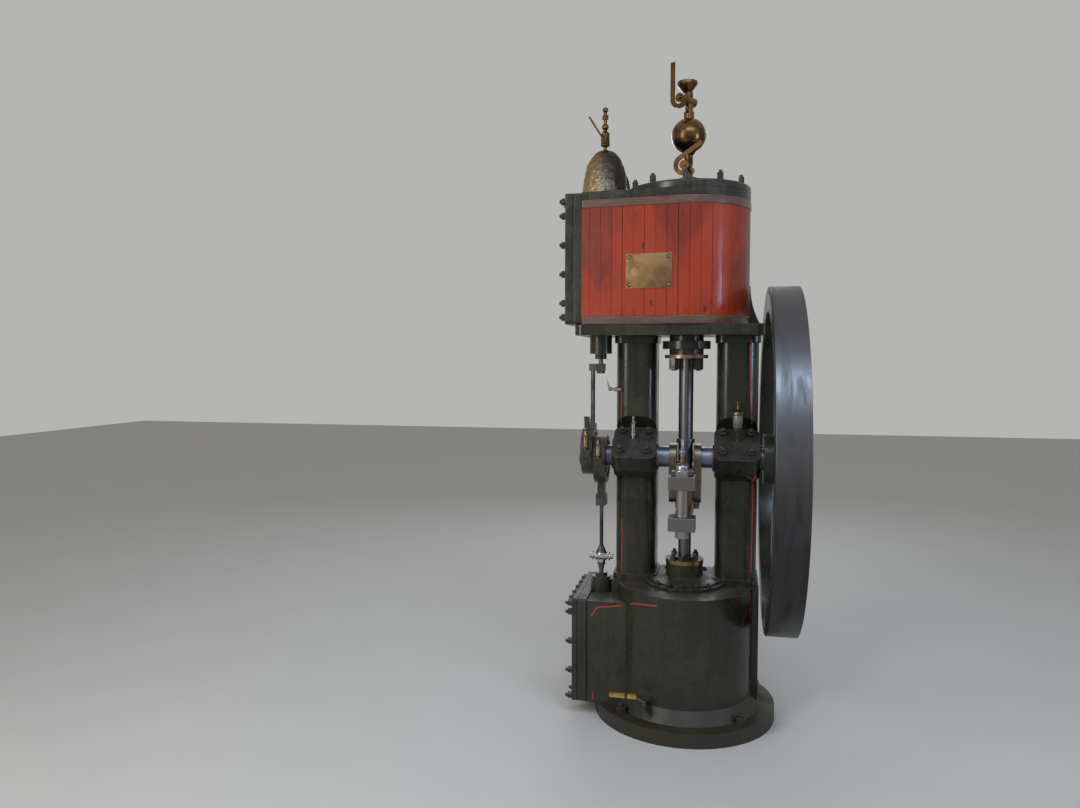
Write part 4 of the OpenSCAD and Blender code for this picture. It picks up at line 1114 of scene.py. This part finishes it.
def strap_oilers():
    """A bronze cup on the front ear of each eccentric strap."""
    cup = [(0, 0), (0.007, 0), (0.007, 0.010), (0.0125, 0.014), (0.0125, 0.018), (0.0100, 0.022),
           (0.0100, 0.060), (0.0120, 0.063), (0.0120, 0.068), (0.0080, 0.074), (0.0060, 0.084),
           (0.0085, 0.088), (0.0085, 0.096), (0, 0.102)]
    shapes = []
    for place in STRAP_OILER_PLACES:
        shapes += place_shapes([turned(cup, 24)], Matrix.Translation(place))
    finished_piece("strap_oilers", shapes, bronze)


right_oiler()
left_oiler()
strap_oilers()


# Red lining

FAR_IN_FRONT = -2
LINING_STEP = 0.010
LEAST_STEP = 0.002
LINING_RISE = 0.0003
LINING_THICK = 0.0002
# Widths and points of the lines on each set of solids, as x and z seen from the front
LINING = {
    ("left_standard",): (
        (0.005, ((-0.2865, 1.462), (-0.288, 1.426), (-0.291, 1.300))),
        (0.005, ((-0.282, 0.860), (-0.281, 0.739), (-0.283, 0.612)))),
    ("right_standard", "pump_base"): (
        (0.008, ((0.2750, 1.672), (0.279, 1.497), (0.285, 1.303))),
        (0.009, ((0.265, 1.082), (0.276, 1.073), (0.291, 1.068), (0.312, 1.070))),
        (0.008, ((0.291, 1.066), (0.294, 0.968), (0.293, 0.834), (0.291, 0.700), (0.290, 0.645))),
        (0.007, ((0.286, 0.572), (0.287, 0.544), (0.288, 0.454), (0.287, 0.366), (0.286, 0.290)))),
    ("pump_valve_chest", "pump_chest_cover", "pump_base"): (
        (0.006, ((-0.396, 0.452), (-0.388, 0.467), (-0.372, 0.490), (-0.365, 0.494),
                 (-0.313, 0.501), (-0.262, 0.509))),
        (0.006, ((-0.222, 0.522), (-0.212, 0.531), (-0.175, 0.541), (-0.099, 0.550))),
        (0.005, ((-0.389, 0.110), (-0.389, 0.062)))),
}


def skin_of(names):
    """The outer skin of some solids, on which the lining is laid."""
    bm = bmesh.new()
    for name in names:
        bm.from_mesh(frame["nodes"][name].data)
    skin = BVHTree.FromBMesh(bm)
    bm.free()
    return skin


def points_on_skin(skin, points):
    """Places and normals where a line, seen from the front, meets a skin."""
    laid = []
    for (x0, z0), (x1, z1) in zip(points, points[1:]):
        count = max(2, int(math.hypot(x1 - x0, z1 - z0) / LINING_STEP))
        for step in range(count + 1):
            share = step / count
            spot = Vector((x0 + (x1 - x0) * share, FAR_IN_FRONT, z0 + (z1 - z0) * share))
            place, normal, _, _ = skin.ray_cast(spot, Vector((0, 1, 0)))
            if place and (not laid or (place - laid[-1][0]).length > LEAST_STEP):
                laid.append((place, normal))
    return laid


def painted_line(skin, points, width):
    """A thin ribbon, laid on a skin along a line."""
    laid = points_on_skin(skin, points)
    bm = bmesh.new()
    edge = None
    for index, (place, normal) in enumerate(laid):
        ahead = laid[min(index + 1, len(laid) - 1)][0] - laid[max(index - 1, 0)][0]
        side = ahead.cross(normal).normalized() * width / 2
        ends = [place + normal * LINING_RISE + side, place + normal * LINING_RISE - side]
        if edge is None:
            edge = bm.edges.new([bm.verts.new(end) for end in ends])
            continue
        made = bmesh.ops.extrude_edge_only(bm, edges=[edge])["geom"]
        edge = next(part for part in made if isinstance(part, bmesh.types.BMEdge))
        first, second = edge.verts
        straight = (first.co - ends[0]).length + (second.co - ends[1]).length
        crossed = (first.co - ends[1]).length + (second.co - ends[0]).length
        if straight > crossed:
            ends.reverse()
        first.co, second.co = ends
    bmesh.ops.recalc_face_normals(bm, faces=bm.faces)
    bmesh.ops.solidify(bm, geom=bm.faces[:], thickness=LINING_THICK)
    bmesh.ops.recalc_face_normals(bm, faces=bm.faces)
    return bm


def make_lining():
    ribbons = []
    for names, lines in LINING.items():
        skin = skin_of(names)
        ribbons += [painted_line(skin, points, width) for width, points in lines]
    finished_piece("red_lining", ribbons, red_lining)


make_lining()


# Small cock at the left standard, and the flywheel's key

PETCOCK_NOZZLE_FOOT = (-0.2885, -0.02, 1.452)
PETCOCK_BALL = (-0.338, -0.02, 1.453)
PETCOCK_STEM_FOOT = (-0.338, -0.022, 1.453)
PETCOCK_HANDLE = (-0.347, -0.031, 1.476)
HANDLE_SLANT = math.radians(-24)
KEY_SIZE = (0.026, 0.024, 0.016)
KEY_X = 0.474
KEY_RISE = 0.0475


def left_petcock():
    """A nozzle, a ball and a flat handle on a short stem."""
    nozzle = [(0, 0), (0.010, 0), (0.010, 0.030), (0.0055, 0.032), (0.0055, 0.055), (0, 0.055)]
    stem = [(0, 0), (0.004, 0), (0.004, 0.012), (0, 0.012)]
    ball = bmesh.new()
    bmesh.ops.create_uvsphere(ball, u_segments=20, v_segments=14, radius=0.0095)
    handle = slab((0.007, 0.004, 0.052), 0.0012)
    slant = Matrix.Rotation(HANDLE_SLANT, 4, "Y")
    shapes = place_shapes([turned(nozzle)], facing(PETCOCK_NOZZLE_FOOT, (-1, 0, 0)))
    shapes += place_shapes([ball], Matrix.Translation(PETCOCK_BALL))
    shapes += place_shapes([handle], Matrix.Translation(PETCOCK_HANDLE) @ slant)
    shapes += place_shapes([turned(stem, 16)], facing(PETCOCK_STEM_FOOT, (0, -1, 0)))
    finished_piece("left_petcock", shapes, bright_steel)


def shaft_key():
    key = slab(KEY_SIZE, 0.001)
    place_shapes([key], Matrix.Translation((KEY_X, 0, shaft_height + KEY_RISE)))
    finished_piece("flywheel_key", [key], nut_steel, body="crank")


left_petcock()
shaft_key()


# Floor and world

FLOOR_HALF = 14


def make_floor():
    mesh = bpy.data.meshes.new("floor")
    bm = bmesh.new()
    bmesh.ops.create_grid(bm, x_segments=1, y_segments=1, size=FLOOR_HALF)
    bm.to_mesh(mesh)
    bm.free()
    mesh.materials.append(floor_finish())
    add_object("floor", mesh)


def make_world():
    world = bpy.data.worlds.new("studio")
    bpy.context.scene.world = world
    world.use_nodes = True
    dress_world(world.node_tree)


make_floor()
make_world()
